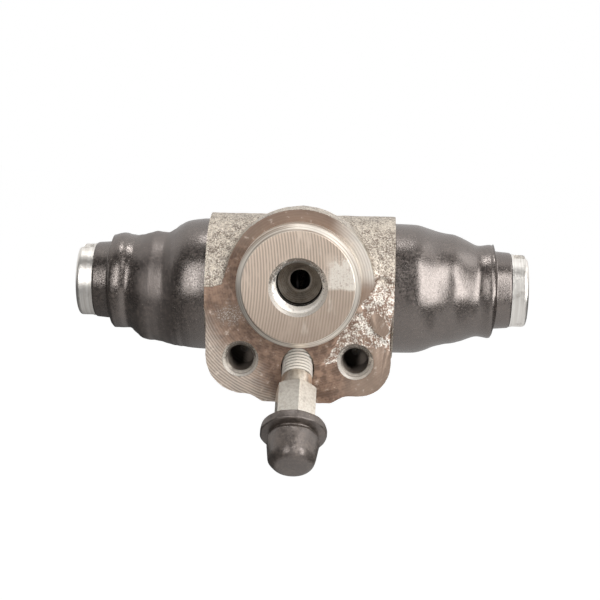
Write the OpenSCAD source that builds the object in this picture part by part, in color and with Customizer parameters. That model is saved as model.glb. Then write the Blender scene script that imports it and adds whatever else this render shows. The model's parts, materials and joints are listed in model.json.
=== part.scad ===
// Hydraulic wheel cylinder of a drum brake: cast housing, two opposed pistons
// with seals, the spring between them, dust boots, bleed screw and its cap.
// X runs along the bore, the mounting face looks along -Y and Z is up.
// The origin lies on the axis of the pilot, in the plane of the mounting face.
// All lengths are in millimetres.

/* [Barrel] */
// Diameter of the cylinder bore
bore_d = 17.46; // [16.4:0.02:18]
// Chamfer at both mouths of the bore
bore_chamfer = 0.6; // [0.2:0.1:1]
// Outside diameter of the cast barrel
barrel_d = 27.8; // [26.4:0.1:29]
// Length of the cast barrel between its end faces
barrel_len = 36; // [35.4:0.2:44]
// Rounding of the barrel's end edges
barrel_edge = 1; // [0.4:0.1:2]
// Distance of the bore's axis behind the mounting face
axis_depth = 13.8; // [13.4:0.1:14.6]
// Distance of the bore's axis below the pilot's axis
axis_drop = 2.5; // [2.2:0.1:3.4]

/* [Boot spigots] */
// Diameter of the turned spigots that carry the boots
spigot_d = 21.8; // [20.6:0.1:22.4]
// Length of each spigot beyond the barrel
spigot_len = 4.4; // [3.8:0.1:6]
// Width of the groove that holds the boot's bead
bead_groove_w = 1.8; // [1:0.1:2.4]
// Depth of that groove
bead_groove_depth = 0.7; // [0.4:0.1:1]

/* [Mounting face] */
// Diameter of the pilot that centres the cylinder in the backing plate
pilot_d = 23.5; // [21:0.1:24]
// Height of the pilot in front of the mounting face
pilot_h = 5; // [4:0.1:7]
// Chamfer around the pilot's face
pilot_chamfer = 1.15; // [0.3:0.05:1.6]
// Diameter of the round pad behind the pilot
pad_d = 28.2; // [26.6:0.1:29]
// Depth of that pad
pad_depth = 7.5; // [5:0.1:9]
// Rounding of the pad's edges
pad_edge = 1; // [0.4:0.1:1.6]
// Distance of the flange's sides inside the barrel's end faces
flange_inset = 0.4; // [0.2:0.1:1.4]
// Lower edge of the flange below the pilot's axis
flange_drop = 21.7; // [21:0.1:24]
// Depth of the flange behind its face
flange_depth = 11.6; // [10:0.1:13]
// Rounding of the flange's back edge
flange_edge = 2; // [0.6:0.1:3]
// Radius of the lower left corner
left_corner_r = 7.6; // [3.4:0.1:8]
// Radius of the lower right corner
right_corner_r = 6.2; // [3.4:0.1:8]
// Width of the boss under the bleed screw, along its lower edge
bleed_boss_w = 14; // [8:0.2:16]
// Height by which that boss stands below the flange
bleed_boss_h = 1.45; // [0.4:0.05:2.4]
// Depth of that boss behind the mounting face
bleed_boss_depth = 8; // [5:0.2:9.6]

/* [Mounting holes] */
// Distance between the two holes
bolt_spacing = 22; // [20.6:0.1:23]
// Distance of the holes below the pilot's axis
bolt_drop = 14.9; // [14:0.1:16]
// Tapping diameter of the holes
bolt_d = 5; // [4.2:0.1:5.6]
// Depth of the full diameter
bolt_depth = 9.4; // [6:0.2:9.6]
// Chamfer at the mouth of each hole
bolt_chamfer = 0.9; // [0.3:0.1:1.1]

/* [Inlet port] */
// Tapping diameter of the port
inlet_d = 9; // [8:0.1:10]
// Depth of the full diameter below the pilot's face
inlet_depth = 7; // [5.5:0.1:7.4]
// Chamfer at the port's mouth
inlet_chamfer = 1.1; // [0.4:0.1:1.5]
// Diameter of the drilling from the port's seat into the bore
inlet_drill_d = 4; // [2.4:0.1:5]

/* [Pistons] */
// Running clearance of each piston in the bore, on the radius
piston_clear = 0.03; // [0.02:0.01:0.08]
// Gap between the two pistons at rest
piston_gap = 14; // [12.4:0.2:18]
// Length of the piston's guiding land
piston_land = 17; // [15:0.2:19]
// Chamfer at both ends of the land
piston_chamfer = 0.6; // [0.2:0.1:1]
// Diameter of the piston's nose
nose_d = 14.4; // [13.8:0.1:14.8]
// Length of the head in front of the boot's lip
head_len = 3.2; // [3:0.1:5]
// Rounding of the head's outer edge
head_edge = 0.8; // [0.2:0.1:1.2]
// Width of the slot that takes the brake shoe's web
slot_w = 5; // [4:0.1:6.4]
// Depth of that slot
slot_depth = 2.8; // [2:0.1:2.9]
// Diameter of the pocket that seats the spring
pocket_d = 10; // [9.8:0.1:11]
// Depth of that pocket
pocket_depth = 6; // [4:0.1:7]

/* [Piston seals] */
// Distance of the seal's groove from the piston's inner face
seal_inset = 3.4; // [2:0.1:4.4]
// Width of that groove
seal_groove_w = 3.4; // [2.6:0.1:4]
// Depth of that groove
seal_groove_depth = 2.1; // [1.6:0.1:2.4]
// Clearance around the seal in its groove and along the bore
seal_clear = 0.04; // [0.02:0.01:0.1]

/* [Return spring] */
// Diameter of the spring's wire
wire_d = 1; // [0.6:0.1:1.1]
// Diameter of the coil, to the middle of its wire
coil_d = 8.2; // [6.4:0.1:8.4]
// Number of turns, with the closed turn at each end
coil_turns = 9; // [7:1:11]
// Clearance at each end of the spring
spring_clear = 0.1; // [0.05:0.01:0.25]

/* [Dust boots] */
// Diameter of the boot over its spigot
boot_mouth_d = 25.5; // [24.8:0.1:26.4]
// Diameter of the boot's middle fold
boot_fold_d = 21.5; // [20.4:0.1:22.6]
// Diameter of the waist beside the outer bead
boot_waist_d = 17.9; // [17.6:0.1:18.6]
// Diameter of the outer bead
boot_bead_d = 18.8; // [18.4:0.1:19.8]
// Length of the slope from the mouth to the fold
boot_slope_len = 5.6; // [4:0.1:8]
// Length of the fold
boot_fold_len = 1.8; // [1:0.1:4]
// Length of the slope from the fold to the waist
boot_throat_len = 4.5; // [3:0.1:7]
// Length from the waist to the end of the boot
boot_bead_len = 3.3; // [2.8:0.1:5]
// Wall of the boot
boot_wall = 1.35; // [0.9:0.05:1.45]
// Diameter of the lip on the piston
lip_d = 14.9; // [14.7:0.1:15.6]
// Length of that lip
lip_len = 3.2; // [2.2:0.1:5]
// Depth of the groove that holds the lip
lip_groove_depth = 0.6; // [0.3:0.05:1]
// Clearance of the rubber on the metal that carries it
rubber_clear = 0.05; // [0.03:0.01:0.12]

/* [Bleed screw] */
// Angle of the screw below the mounting face's normal
bleed_angle = 40; // [38:1:42]
// Distance of the screw's hole below the pilot's axis, on the mounting face
bleed_drop = 16.6; // [16.2:0.1:17.2]
// Diameter over the thread
bleed_d = 5.9; // [5:0.1:6.2]
// Clearance of the thread in its hole, on the radius
bleed_clear = 0.05; // [0.02:0.01:0.1]
// Depth of the hole from its mouth to the seat
bleed_seat_depth = 6.5; // [5:0.1:7]
// Diameter of the relief round the screw at the mounting face
bleed_relief_d = 7; // [6.4:0.1:7.2]
// Depth of the relief below the mouth
bleed_relief_depth = 3.2; // [2:0.1:4]
// Diameter of the passage from the seat to the bore
bleed_passage_d = 2; // [1.4:0.1:2.6]
// Length of the thinner tip behind the seat's cone
bleed_tip_len = 2; // [1.6:0.1:2.6]
// Distance from the mouth to the hexagon
hex_start = 5; // [4.8:0.1:7]
// Length of the hexagon
hex_len = 7.6; // [4:0.1:9]
// Width across the hexagon's flats
hex_af = 7.1; // [6.8:0.1:8]
// Angle by which a corner of the hexagon is turned from the front
hex_turn = 11; // [0:1:30]
// Length of the nipple beyond the hexagon
nipple_len = 7.8; // [6:0.1:10]
// Diameter of the nipple's shank
nipple_d = 4.8; // [4:0.1:5]
// Diameter of the nipple's bulge
nipple_bulge_d = 5.5; // [5.1:0.1:6]
// Diameter of the drilling through the screw
bleed_drill_d = 1.8; // [1:0.1:2.2]

/* [Screw cap] */
// Gap between the hexagon and the cap's rim
cap_gap = 0.9; // [0.4:0.1:1.5]
// Diameter of the rim
cap_rim_d = 12.3; // [11.4:0.1:13]
// Thickness of the rim
cap_rim_len = 1.6; // [0.8:0.1:2]
// Diameter of the cap's body beside the rim
cap_body_d = 10.2; // [9.2:0.1:10.8]
// Diameter of the cap's body at its tip
cap_tip_d = 8.8; // [7.8:0.1:9.2]
// Rounding of the tip
cap_tip_edge = 2; // [0.6:0.1:2.4]
// Wall in front of the nipple
cap_end_wall = 1.4; // [0.8:0.1:2]
// Clearance of the cap on the nipple's bulge, on the radius
cap_clear = 0.1; // [0.05:0.01:0.2]

/* [Hidden] */
$fn = 64;
over = 1;
arc_steps = 6;
slope_steps = 8;

bore_r = bore_d / 2;
barrel_half = barrel_len / 2;
flange_w = barrel_len - 2 * flange_inset;
spigot_r = spigot_d / 2;
spigot_end = barrel_half + spigot_len;
pilot_r = pilot_d / 2;
bead_groove_at = barrel_half + (spigot_len - bead_groove_w) / 2;
bead_groove_r = spigot_r - bead_groove_depth;
inlet_end = inlet_depth - pilot_h;
inlet_seat_len = (inlet_d - inlet_drill_d) / 2;

piston_r = bore_r - piston_clear;
piston_start = piston_gap / 2;
land_end = piston_start + piston_land;
nose_r = nose_d / 2;
seal_groove_r = piston_r - seal_groove_depth;
seal_start = piston_start + seal_inset;

boot_slope_end = spigot_end + boot_slope_len;
boot_fold_end = boot_slope_end + boot_fold_len;
boot_waist = boot_fold_end + boot_throat_len;
boot_end = boot_waist + boot_bead_len;
boot_bead = boot_end - boot_bead_len * 0.42;
lip_end = boot_end + lip_len;
lip_groove_r = nose_r - lip_groove_depth;
nose_end = lip_end + rubber_clear + head_len;

spring_half = piston_start + pocket_depth - spring_clear;

bleed_hole_r = bleed_d / 2 + bleed_clear;
bleed_mouth = axis_depth / cos(bleed_angle);
bleed_seat = bleed_mouth - bleed_seat_depth;
bleed_relief_foot = bleed_mouth - bleed_relief_depth;
bleed_seat_foot = bleed_seat - (bleed_hole_r - bleed_passage_d / 2);
bleed_seat_clear = bleed_clear * 2;
bleed_tip_r = bleed_d / 2 - 0.55;
bleed_tip_end = bleed_seat + bleed_tip_len;
bleed_drill_end = bleed_tip_end - bleed_tip_len * 0.45;
hex_at = bleed_mouth + hex_start;
hex_end = hex_at + hex_len;
hex_corner_r = hex_af / 2 / cos(30);
nipple_end = hex_end + nipple_len;
cap_start = hex_end + cap_gap;
cap_inner_r = nipple_bulge_d / 2 + cap_clear;
cap_floor = nipple_end + cap_clear * 2;
cap_end = cap_floor + cap_end_wall;

// Points of an arc about a centre, from one angle to another.
function arc(centre, r, from, to) = [
    for (i = [0:arc_steps])
        let (a = from + (to - from) * i / arc_steps)
            centre + r * [cos(a), sin(a)]
];

// A point list followed by its own mirror image across the second axis.
function both_ends(points) = concat(
    points,
    [for (i = [len(points) - 1:-1:0]) [points[i][0], -points[i][1]]]
);

// Share of the way along a slope that starts and ends level.
function ease(u) = (1 - cos(180 * u)) / 2;

// Points of a level-ended slope between two [radius, place] stations.
function slope(a, b) = [
    for (i = [1:slope_steps])
        let (u = i / slope_steps)
            [a[0] + (b[0] - a[0]) * ease(u), a[1] + (b[1] - a[1]) * u]
];

// A solid turned about the bore's axis from [radius, place along X] points.
module turned_on_bore(points) {
    translate([0, axis_depth, -axis_drop])
        rotate([0, 90, 0])
            rotate_extrude()
                polygon(points);
}

// A solid turned about an axis square to the mounting face, from
// [radius, depth behind the face] points.
module turned_on_face(points, x = 0, drop = 0) {
    translate([x, 0, -drop])
        rotate([-90, 0, 0])
            rotate_extrude()
                polygon(points);
}

// Puts a solid made along Z on the bleed screw's axis, from inside the bore outwards.
module on_bleed_axis() {
    translate([0, axis_depth, axis_depth * tan(bleed_angle) - bleed_drop])
        rotate([90 + bleed_angle, 0, 0])
            children();
}

// Half section of a plate whose far back edge is rounded: reach by depth.
function rounded_back(reach, depth, edge) = concat(
    [[0, 0], [reach, 0]],
    arc([reach - edge, depth - edge], edge, 0, 90),
    [[0, depth]]
);

module barrel() {
    turned_on_bore(both_ends(concat(
        [
            [0, spigot_end],
            [spigot_r - bore_chamfer, spigot_end],
            [spigot_r, spigot_end - bore_chamfer],
            [spigot_r, bead_groove_at + bead_groove_w],
            [bead_groove_r, bead_groove_at + bead_groove_w],
            [bead_groove_r, bead_groove_at],
            [spigot_r, bead_groove_at],
            [spigot_r, barrel_half]
        ],
        arc([barrel_d / 2 - barrel_edge, barrel_half - barrel_edge], barrel_edge, 90, 0)
    )));
}

// One lower corner of the flange, with the side above it and half the bottom.
module flange_half(side, corner_r) {
    x = side * (flange_w / 2 - corner_r);
    drop = flange_drop - corner_r;
    turned_on_face(rounded_back(corner_r, flange_depth, flange_edge), x, drop);
    translate([x, 0, -drop])
        mirror([side < 0 ? 1 : 0, 0, 0])
            linear_extrude(drop - axis_drop)
                polygon(rounded_back(corner_r, flange_depth, flange_edge));
    translate([x, 0, -axis_drop])
        mirror([side > 0 ? 1 : 0, 0, 0])
            rotate([0, 90, 0])
                linear_extrude(abs(x))
                    polygon(rounded_back(flange_drop - axis_drop, flange_depth, flange_edge));
}

// Boss under the bleed screw: a bar along X cut to sloping ends.
module bleed_boss() {
    foot = bleed_boss_w / 2;
    reach = flange_drop + bleed_boss_h;
    intersection() {
        translate([-flange_w / 2, 0, -axis_drop])
            rotate([0, 90, 0])
                linear_extrude(flange_w)
                    polygon(rounded_back(reach - axis_drop, bleed_boss_depth, bleed_boss_h));
        rotate([90, 0, 0])
            translate([0, 0, -flange_depth])
                linear_extrude(flange_depth + over)
                    polygon([
                        [-foot, -reach],
                        [foot, -reach],
                        [foot + 2 * reach - 2 * axis_drop, -axis_drop + over],
                        [-foot - 2 * reach + 2 * axis_drop, -axis_drop + over]
                    ]);
    }
}

module pad() {
    turned_on_face(concat(
        [[0, 0]],
        arc([pad_d / 2 - pad_edge, pad_edge], pad_edge, -90, 0),
        arc([pad_d / 2 - pad_edge, pad_depth - pad_edge], pad_edge, 0, 90),
        [[0, pad_depth]]
    ));
}

module pilot() {
    turned_on_face([
        [0, over],
        [0, -pilot_h],
        [pilot_r - pilot_chamfer, -pilot_h],
        [pilot_r, pilot_chamfer - pilot_h],
        [pilot_r, over]
    ]);
}

module bore_cut() {
    turned_on_bore(both_ends([
        [0, spigot_end + over],
        [bore_r + bore_chamfer + over, spigot_end + over],
        [bore_r, spigot_end - bore_chamfer]
    ]));
}

module inlet_cut() {
    turned_on_face([
        [0, -pilot_h - over],
        [inlet_d / 2 + inlet_chamfer + over, -pilot_h - over],
        [inlet_d / 2, inlet_chamfer - pilot_h],
        [inlet_d / 2, inlet_end],
        [inlet_drill_d / 2, inlet_end + inlet_seat_len],
        [inlet_drill_d / 2, axis_depth],
        [0, axis_depth]
    ]);
}

module bolt_cut() {
    for (side = [-1, 1])
        turned_on_face(
            [
                [0, -over],
                [bolt_d / 2 + bolt_chamfer + over, -over],
                [bolt_d / 2, bolt_chamfer],
                [bolt_d / 2, bolt_depth],
                [0, bolt_depth + bolt_d / 2 / tan(59)]
            ],
            side * bolt_spacing / 2,
            bolt_drop
        );
}

module bleed_cut() {
    on_bleed_axis()
        rotate_extrude()
            polygon([
                [0, 0],
                [bleed_passage_d / 2, 0],
                [bleed_passage_d / 2, bleed_seat_foot],
                [bleed_hole_r, bleed_seat],
                [bleed_hole_r, bleed_relief_foot],
                [bleed_relief_d / 2, bleed_relief_foot],
                [bleed_relief_d / 2, hex_at],
                [0, hex_at]
            ]);
}

module cylinder_housing() {
    color("dimgray")
        difference() {
            union() {
                difference() {
                    union() {
                        barrel();
                        pad();
                        flange_half(-1, left_corner_r);
                        flange_half(1, right_corner_r);
                        bleed_boss();
                    }
                    translate([-spigot_end, -pilot_h, -flange_drop - barrel_d])
                        cube([2 * spigot_end, pilot_h, 2 * flange_drop + 2 * barrel_d]);
                }
                pilot();
            }
            bore_cut();
            inlet_cut();
            bolt_cut();
            bleed_cut();
        }
}

// The right piston, turned, then slotted across its head.
module piston() {
    groove_end = seal_start + seal_groove_w;
    difference() {
        turned_on_bore(concat(
            [
                [0, piston_start + pocket_depth],
                [pocket_d / 2, piston_start + pocket_depth],
                [pocket_d / 2, piston_start],
                [piston_r - piston_chamfer, piston_start],
                [piston_r, piston_start + piston_chamfer],
                [piston_r, seal_start],
                [seal_groove_r, seal_start],
                [seal_groove_r, groove_end],
                [piston_r, groove_end],
                [piston_r, land_end - piston_chamfer],
                [piston_r - piston_chamfer, land_end],
                [nose_r, land_end],
                [nose_r, boot_end - rubber_clear],
                [lip_groove_r, boot_end - rubber_clear],
                [lip_groove_r, nose_end - head_len],
                [nose_r, nose_end - head_len]
            ],
            arc([nose_r - head_edge, nose_end - head_edge], head_edge, 0, 90),
            [[0, nose_end]]
        ));
        translate([nose_end - slot_depth, axis_depth - slot_w / 2, -axis_drop - nose_d])
            cube([slot_depth + over, slot_w, 2 * nose_d]);
    }
}

module left_piston() {
    color("silver")
        mirror([1, 0, 0])
            piston();
}

module right_piston() {
    color("silver")
        piston();
}

// Grooved ring in the right piston, its lips open towards the pressure.
module piston_seal() {
    front = seal_start + seal_clear;
    heel = seal_start + seal_groove_w - seal_clear;
    inner = seal_groove_r + seal_clear;
    outer = bore_r - seal_clear;
    depth = outer - inner;
    lip = depth * 0.3;
    turned_on_bore([
        [inner, heel],
        [inner, front],
        [inner + lip, front],
        [inner + depth / 2, front + (heel - front) * 0.5],
        [outer - lip, front],
        [outer, front],
        [outer, front + lip],
        [outer - lip / 3, heel],
    ]);
}

module left_piston_seal() {
    color("black")
        mirror([1, 0, 0])
            piston_seal();
}

module right_piston_seal() {
    color("black")
        piston_seal();
}

// Place along the coil's axis after a number of turns: closed, open, closed.
function coil_place(turn) =
    let (
        closed = wire_d * 1.06,
        reach = spring_half - wire_d / 2,
        open = (2 * reach - 2 * closed) / (coil_turns - 2)
    )
        turn < 1 ? closed * turn - reach
        : turn > coil_turns - 1 ? reach - closed * (coil_turns - turn)
        : closed + open * (turn - 1) - reach;

module return_spring() {
    sides = 8;
    steps = 20 * coil_turns;
    points = [
        for (i = [0:steps])
            let (turn = i * coil_turns / steps, x = coil_place(turn))
                for (k = [0:sides - 1])
                    let (r = (coil_d + wire_d * cos(360 * k / sides)) / 2)
                        [
                            x + wire_d / 2 * sin(360 * k / sides),
                            axis_depth + r * cos(360 * turn),
                            r * sin(360 * turn) - axis_drop
                        ]
    ];
    walls = [
        for (i = [0:steps - 1])
            for (k = [0:sides - 1])
                let (a = i * sides + k, b = i * sides + (k + 1) % sides)
                    [a, b, b + sides, a + sides]
    ];
    first = [for (k = [sides - 1:-1:0]) k];
    last = [for (k = [0:sides - 1]) steps * sides + k];
    color("lightsteelblue")
        polyhedron(points, concat(walls, [first, last]));
}

// The right boot: its bead in the spigot's groove, its lip in the piston's.
module dust_boot() {
    mouth = boot_mouth_d / 2;
    fold = boot_fold_d / 2;
    waist = boot_waist_d / 2;
    bead = boot_bead_d / 2;
    lip = lip_d / 2;
    seat = spigot_r + rubber_clear;
    bead_in = bead_groove_r + rubber_clear;
    bead_a = bead_groove_at + rubber_clear;
    bead_b = bead_groove_at + bead_groove_w - rubber_clear;
    lip_in = lip_groove_r + rubber_clear;
    neck_in = nose_r + rubber_clear;
    start = barrel_half + rubber_clear;
    room = spigot_end + rubber_clear;
    end_wall = boot_end - boot_wall;
    outside = concat(
        [[mouth, start], [mouth, spigot_end]],
        slope([mouth, spigot_end], [fold, boot_slope_end]),
        slope([fold, boot_slope_end], [fold - 0.2, boot_fold_end]),
        slope([fold - 0.2, boot_fold_end], [waist, boot_waist]),
        slope([waist, boot_waist], [bead, boot_bead]),
        arc([bead - (boot_end - boot_bead), boot_bead], boot_end - boot_bead, 0, 90),
        [[lip, boot_end], [lip, lip_end], [lip_in, lip_end]]
    );
    inside = concat(
        [[seat, start], [seat, bead_a], [bead_in, bead_a], [bead_in, bead_b], [seat, bead_b], [seat, room]],
        slope([seat, room], [fold - boot_wall, boot_slope_end]),
        slope([fold - boot_wall, boot_slope_end], [fold - 0.2 - boot_wall, boot_fold_end]),
        slope([fold - 0.2 - boot_wall, boot_fold_end], [waist - boot_wall, boot_waist]),
        [[waist - boot_wall, end_wall], [neck_in, end_wall], [neck_in, boot_end], [lip_in, boot_end]]
    );
    turned_on_bore(concat(
        outside,
        [for (i = [len(inside) - 1:-1:0]) inside[i]]
    ));
}

module left_dust_boot() {
    color("darkslategray")
        mirror([1, 0, 0])
            dust_boot();
}

module right_dust_boot() {
    color("darkslategray")
        dust_boot();
}

// The hexagon, a corner near the front, its corners turned off at both ends.
module bleed_hexagon() {
    flat = hex_af / 2;
    turn_off = (hex_corner_r - flat) * 0.6;
    intersection() {
        translate([0, 0, hex_at])
            rotate(30 - hex_turn)
                cylinder(r = hex_corner_r, h = hex_len, $fn = 6);
        rotate_extrude()
            polygon([
                [0, hex_at],
                [flat, hex_at],
                [hex_corner_r + over, hex_at + turn_off * 2 + over],
                [hex_corner_r + over, hex_end - turn_off - over],
                [flat, hex_end],
                [0, hex_end]
            ]);
    }
}

module bleed_screw() {
    thread = bleed_d / 2;
    tip_start = bleed_seat_foot + bleed_seat_clear;
    cone_end = tip_start + bleed_tip_r - bleed_passage_d / 2;
    shoulder = thread - bleed_tip_r;
    shank = nipple_d / 2;
    bulge = nipple_bulge_d / 2;
    bulge_at = nipple_end - nipple_len * 0.3;
    color("lightgray")
        on_bleed_axis()
            difference() {
                union() {
                    rotate_extrude()
                        polygon([
                            [0, tip_start],
                            [bleed_passage_d / 2, tip_start],
                            [bleed_tip_r, cone_end],
                            [bleed_tip_r, bleed_tip_end],
                            [thread, bleed_tip_end + shoulder],
                            [thread, hex_at - 1.2],
                            [thread - 0.15, hex_at - 1],
                            [thread - 0.15, hex_at + over],
                            [shank, hex_at + over],
                            [shank, bulge_at - bulge + shank],
                            [bulge, bulge_at],
                            [bulge, bulge_at + 0.4],
                            [shank * 0.85, nipple_end],
                            [0, nipple_end]
                        ]);
                    bleed_hexagon();
                }
                translate([0, 0, bleed_drill_end])
                    cylinder(d = bleed_drill_d, h = nipple_end - bleed_drill_end + over);
                translate([-thread - over, 0, bleed_drill_end])
                    rotate([0, 90, 0])
                        cylinder(d = bleed_drill_d * 0.9, h = bleed_d + 2 * over);
            }
}

module bleed_screw_cap() {
    rim = cap_rim_d / 2;
    body = cap_body_d / 2;
    tip = cap_tip_d / 2;
    rim_end = cap_start + cap_rim_len;
    rim_edge = cap_rim_len * 0.3;
    ridge = body + (rim - body) * 0.4;
    color("black")
        on_bleed_axis()
            rotate_extrude()
                polygon(concat(
                    [
                        [cap_inner_r, cap_start],
                        [rim - rim_edge, cap_start],
                        [rim, cap_start + rim_edge],
                        [rim, rim_end - rim_edge],
                        [rim - rim_edge, rim_end],
                        [body, rim_end],
                        [body, rim_end + 0.45],
                        [ridge, rim_end + 0.55],
                        [ridge, rim_end + 0.85],
                        [body, rim_end + 1]
                    ],
                    arc([tip - cap_tip_edge, cap_end - cap_tip_edge], cap_tip_edge, 0, 90),
                    [
                        [0, cap_end],
                        [0, cap_floor],
                        [cap_inner_r, cap_floor]
                    ]
                ));
}

cylinder_housing();
left_piston();
right_piston();
left_piston_seal();
right_piston_seal();
return_spring();
left_dust_boot();
right_dust_boot();
bleed_screw();
bleed_screw_cap();
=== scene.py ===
"""Looks of a drum-brake wheel cylinder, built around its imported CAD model."""

import json
import logging
import math
from dataclasses import dataclass
from enum import Enum
from functools import cached_property
from typing import Any, Callable, Optional, Sequence, Union

import bmesh
import bpy
from mathutils import Matrix, Quaternion, Vector, noise


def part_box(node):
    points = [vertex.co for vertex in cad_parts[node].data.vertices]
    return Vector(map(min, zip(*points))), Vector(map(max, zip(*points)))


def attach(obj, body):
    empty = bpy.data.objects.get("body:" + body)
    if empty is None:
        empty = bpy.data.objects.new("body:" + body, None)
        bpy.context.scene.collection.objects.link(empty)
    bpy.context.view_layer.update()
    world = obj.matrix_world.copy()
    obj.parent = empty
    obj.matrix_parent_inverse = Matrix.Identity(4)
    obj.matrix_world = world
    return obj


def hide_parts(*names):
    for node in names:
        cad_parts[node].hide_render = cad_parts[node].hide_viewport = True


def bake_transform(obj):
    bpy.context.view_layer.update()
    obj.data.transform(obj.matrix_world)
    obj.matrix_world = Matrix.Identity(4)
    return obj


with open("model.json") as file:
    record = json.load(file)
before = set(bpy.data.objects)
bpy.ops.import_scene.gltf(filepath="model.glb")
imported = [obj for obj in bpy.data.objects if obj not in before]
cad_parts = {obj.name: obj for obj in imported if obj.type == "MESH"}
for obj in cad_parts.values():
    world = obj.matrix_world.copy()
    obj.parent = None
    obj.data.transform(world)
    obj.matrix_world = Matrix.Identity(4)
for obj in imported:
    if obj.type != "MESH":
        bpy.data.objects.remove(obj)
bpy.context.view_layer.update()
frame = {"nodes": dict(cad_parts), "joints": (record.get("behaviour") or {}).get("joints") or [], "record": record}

LOG = logging.getLogger("wheel_cylinder")
MM = 0.001
TURN = 2 * math.pi
WHITE = (1.0, 1.0, 1.0, 1.0)

Point = tuple[float, float]
Corner = tuple[float, float, float]
Colour = tuple[float, float, float, float]
Span = tuple[float, float]
Wave = tuple[float, float, Corner]


def srgb(red: int, green: int, blue: int) -> Colour:
    """Turn a screen colour into the linear colour that a shader takes.

    Args:
        red: red, 0 to 255.
        green: green, 0 to 255.
        blue: blue, 0 to 255.

    Returns:
        The linear colour with full alpha.
    """
    linear = []
    for part in (red, green, blue):
        share = part / 255
        linear.append(share / 12.92 if share <= 0.04045 else ((share + 0.055) / 1.055) ** 2.4)
    return (linear[0], linear[1], linear[2], 1.0)


def ease(value: float, low: float, high: float) -> float:
    """Rise smoothly from 0 at low to 1 at high.

    Args:
        value: where to read the rise.
        low: value at which it starts.
        high: value at which it ends.

    Returns:
        A share from 0 to 1.
    """
    share = min(1.0, max(0.0, (value - low) / (high - low)))
    return share * share * (3 - 2 * share)


class Value:
    """A socket that gives a value, with the arithmetic of Math nodes."""

    def __init__(self, graph: "Graph", socket: bpy.types.NodeSocket) -> None:
        """Keep the graph that owns the socket, and the socket."""
        self.graph = graph
        self.socket = socket

    def _math(self, operation: str, *operands: "Operand") -> "Value":
        """Add one Math node.

        Args:
            operation: the node's operation.
            *operands: values or numbers in the order of its sockets.

        Returns:
            The result's socket.
        """
        return self.graph.node("ShaderNodeMath", {"operation": operation}, dict(enumerate(operands)))

    def __add__(self, other: "Operand") -> "Value":
        """Add."""
        return self._math("ADD", self, other)

    def __radd__(self, other: "Operand") -> "Value":
        """Add to a number."""
        return self._math("ADD", other, self)

    def __sub__(self, other: "Operand") -> "Value":
        """Subtract."""
        return self._math("SUBTRACT", self, other)

    def __rsub__(self, other: "Operand") -> "Value":
        """Subtract from a number."""
        return self._math("SUBTRACT", other, self)

    def __mul__(self, other: "Operand") -> "Value":
        """Multiply."""
        return self._math("MULTIPLY", self, other)

    def __rmul__(self, other: "Operand") -> "Value":
        """Multiply a number."""
        return self._math("MULTIPLY", other, self)

    def __abs__(self) -> "Value":
        """Drop the sign."""
        return self._math("ABSOLUTE", self)

    def root(self) -> "Value":
        """Take the square root."""
        return self._math("SQRT", self)

    def sine(self) -> "Value":
        """Take the sine."""
        return self._math("SINE", self)

    def over(self, other: "Operand") -> "Value":
        """Keep the larger of two values."""
        return self._math("MAXIMUM", self, other)

    def under(self, other: "Operand") -> "Value":
        """Keep the smaller of two values."""
        return self._math("MINIMUM", self, other)


Operand = Union[Value, int, float]
Paint = Union[Value, Colour]
Triple = tuple[Value, Value, Value]
Settings = Optional[dict[str, Any]]
Sockets = Optional[dict[Union[int, str], Any]]


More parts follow.
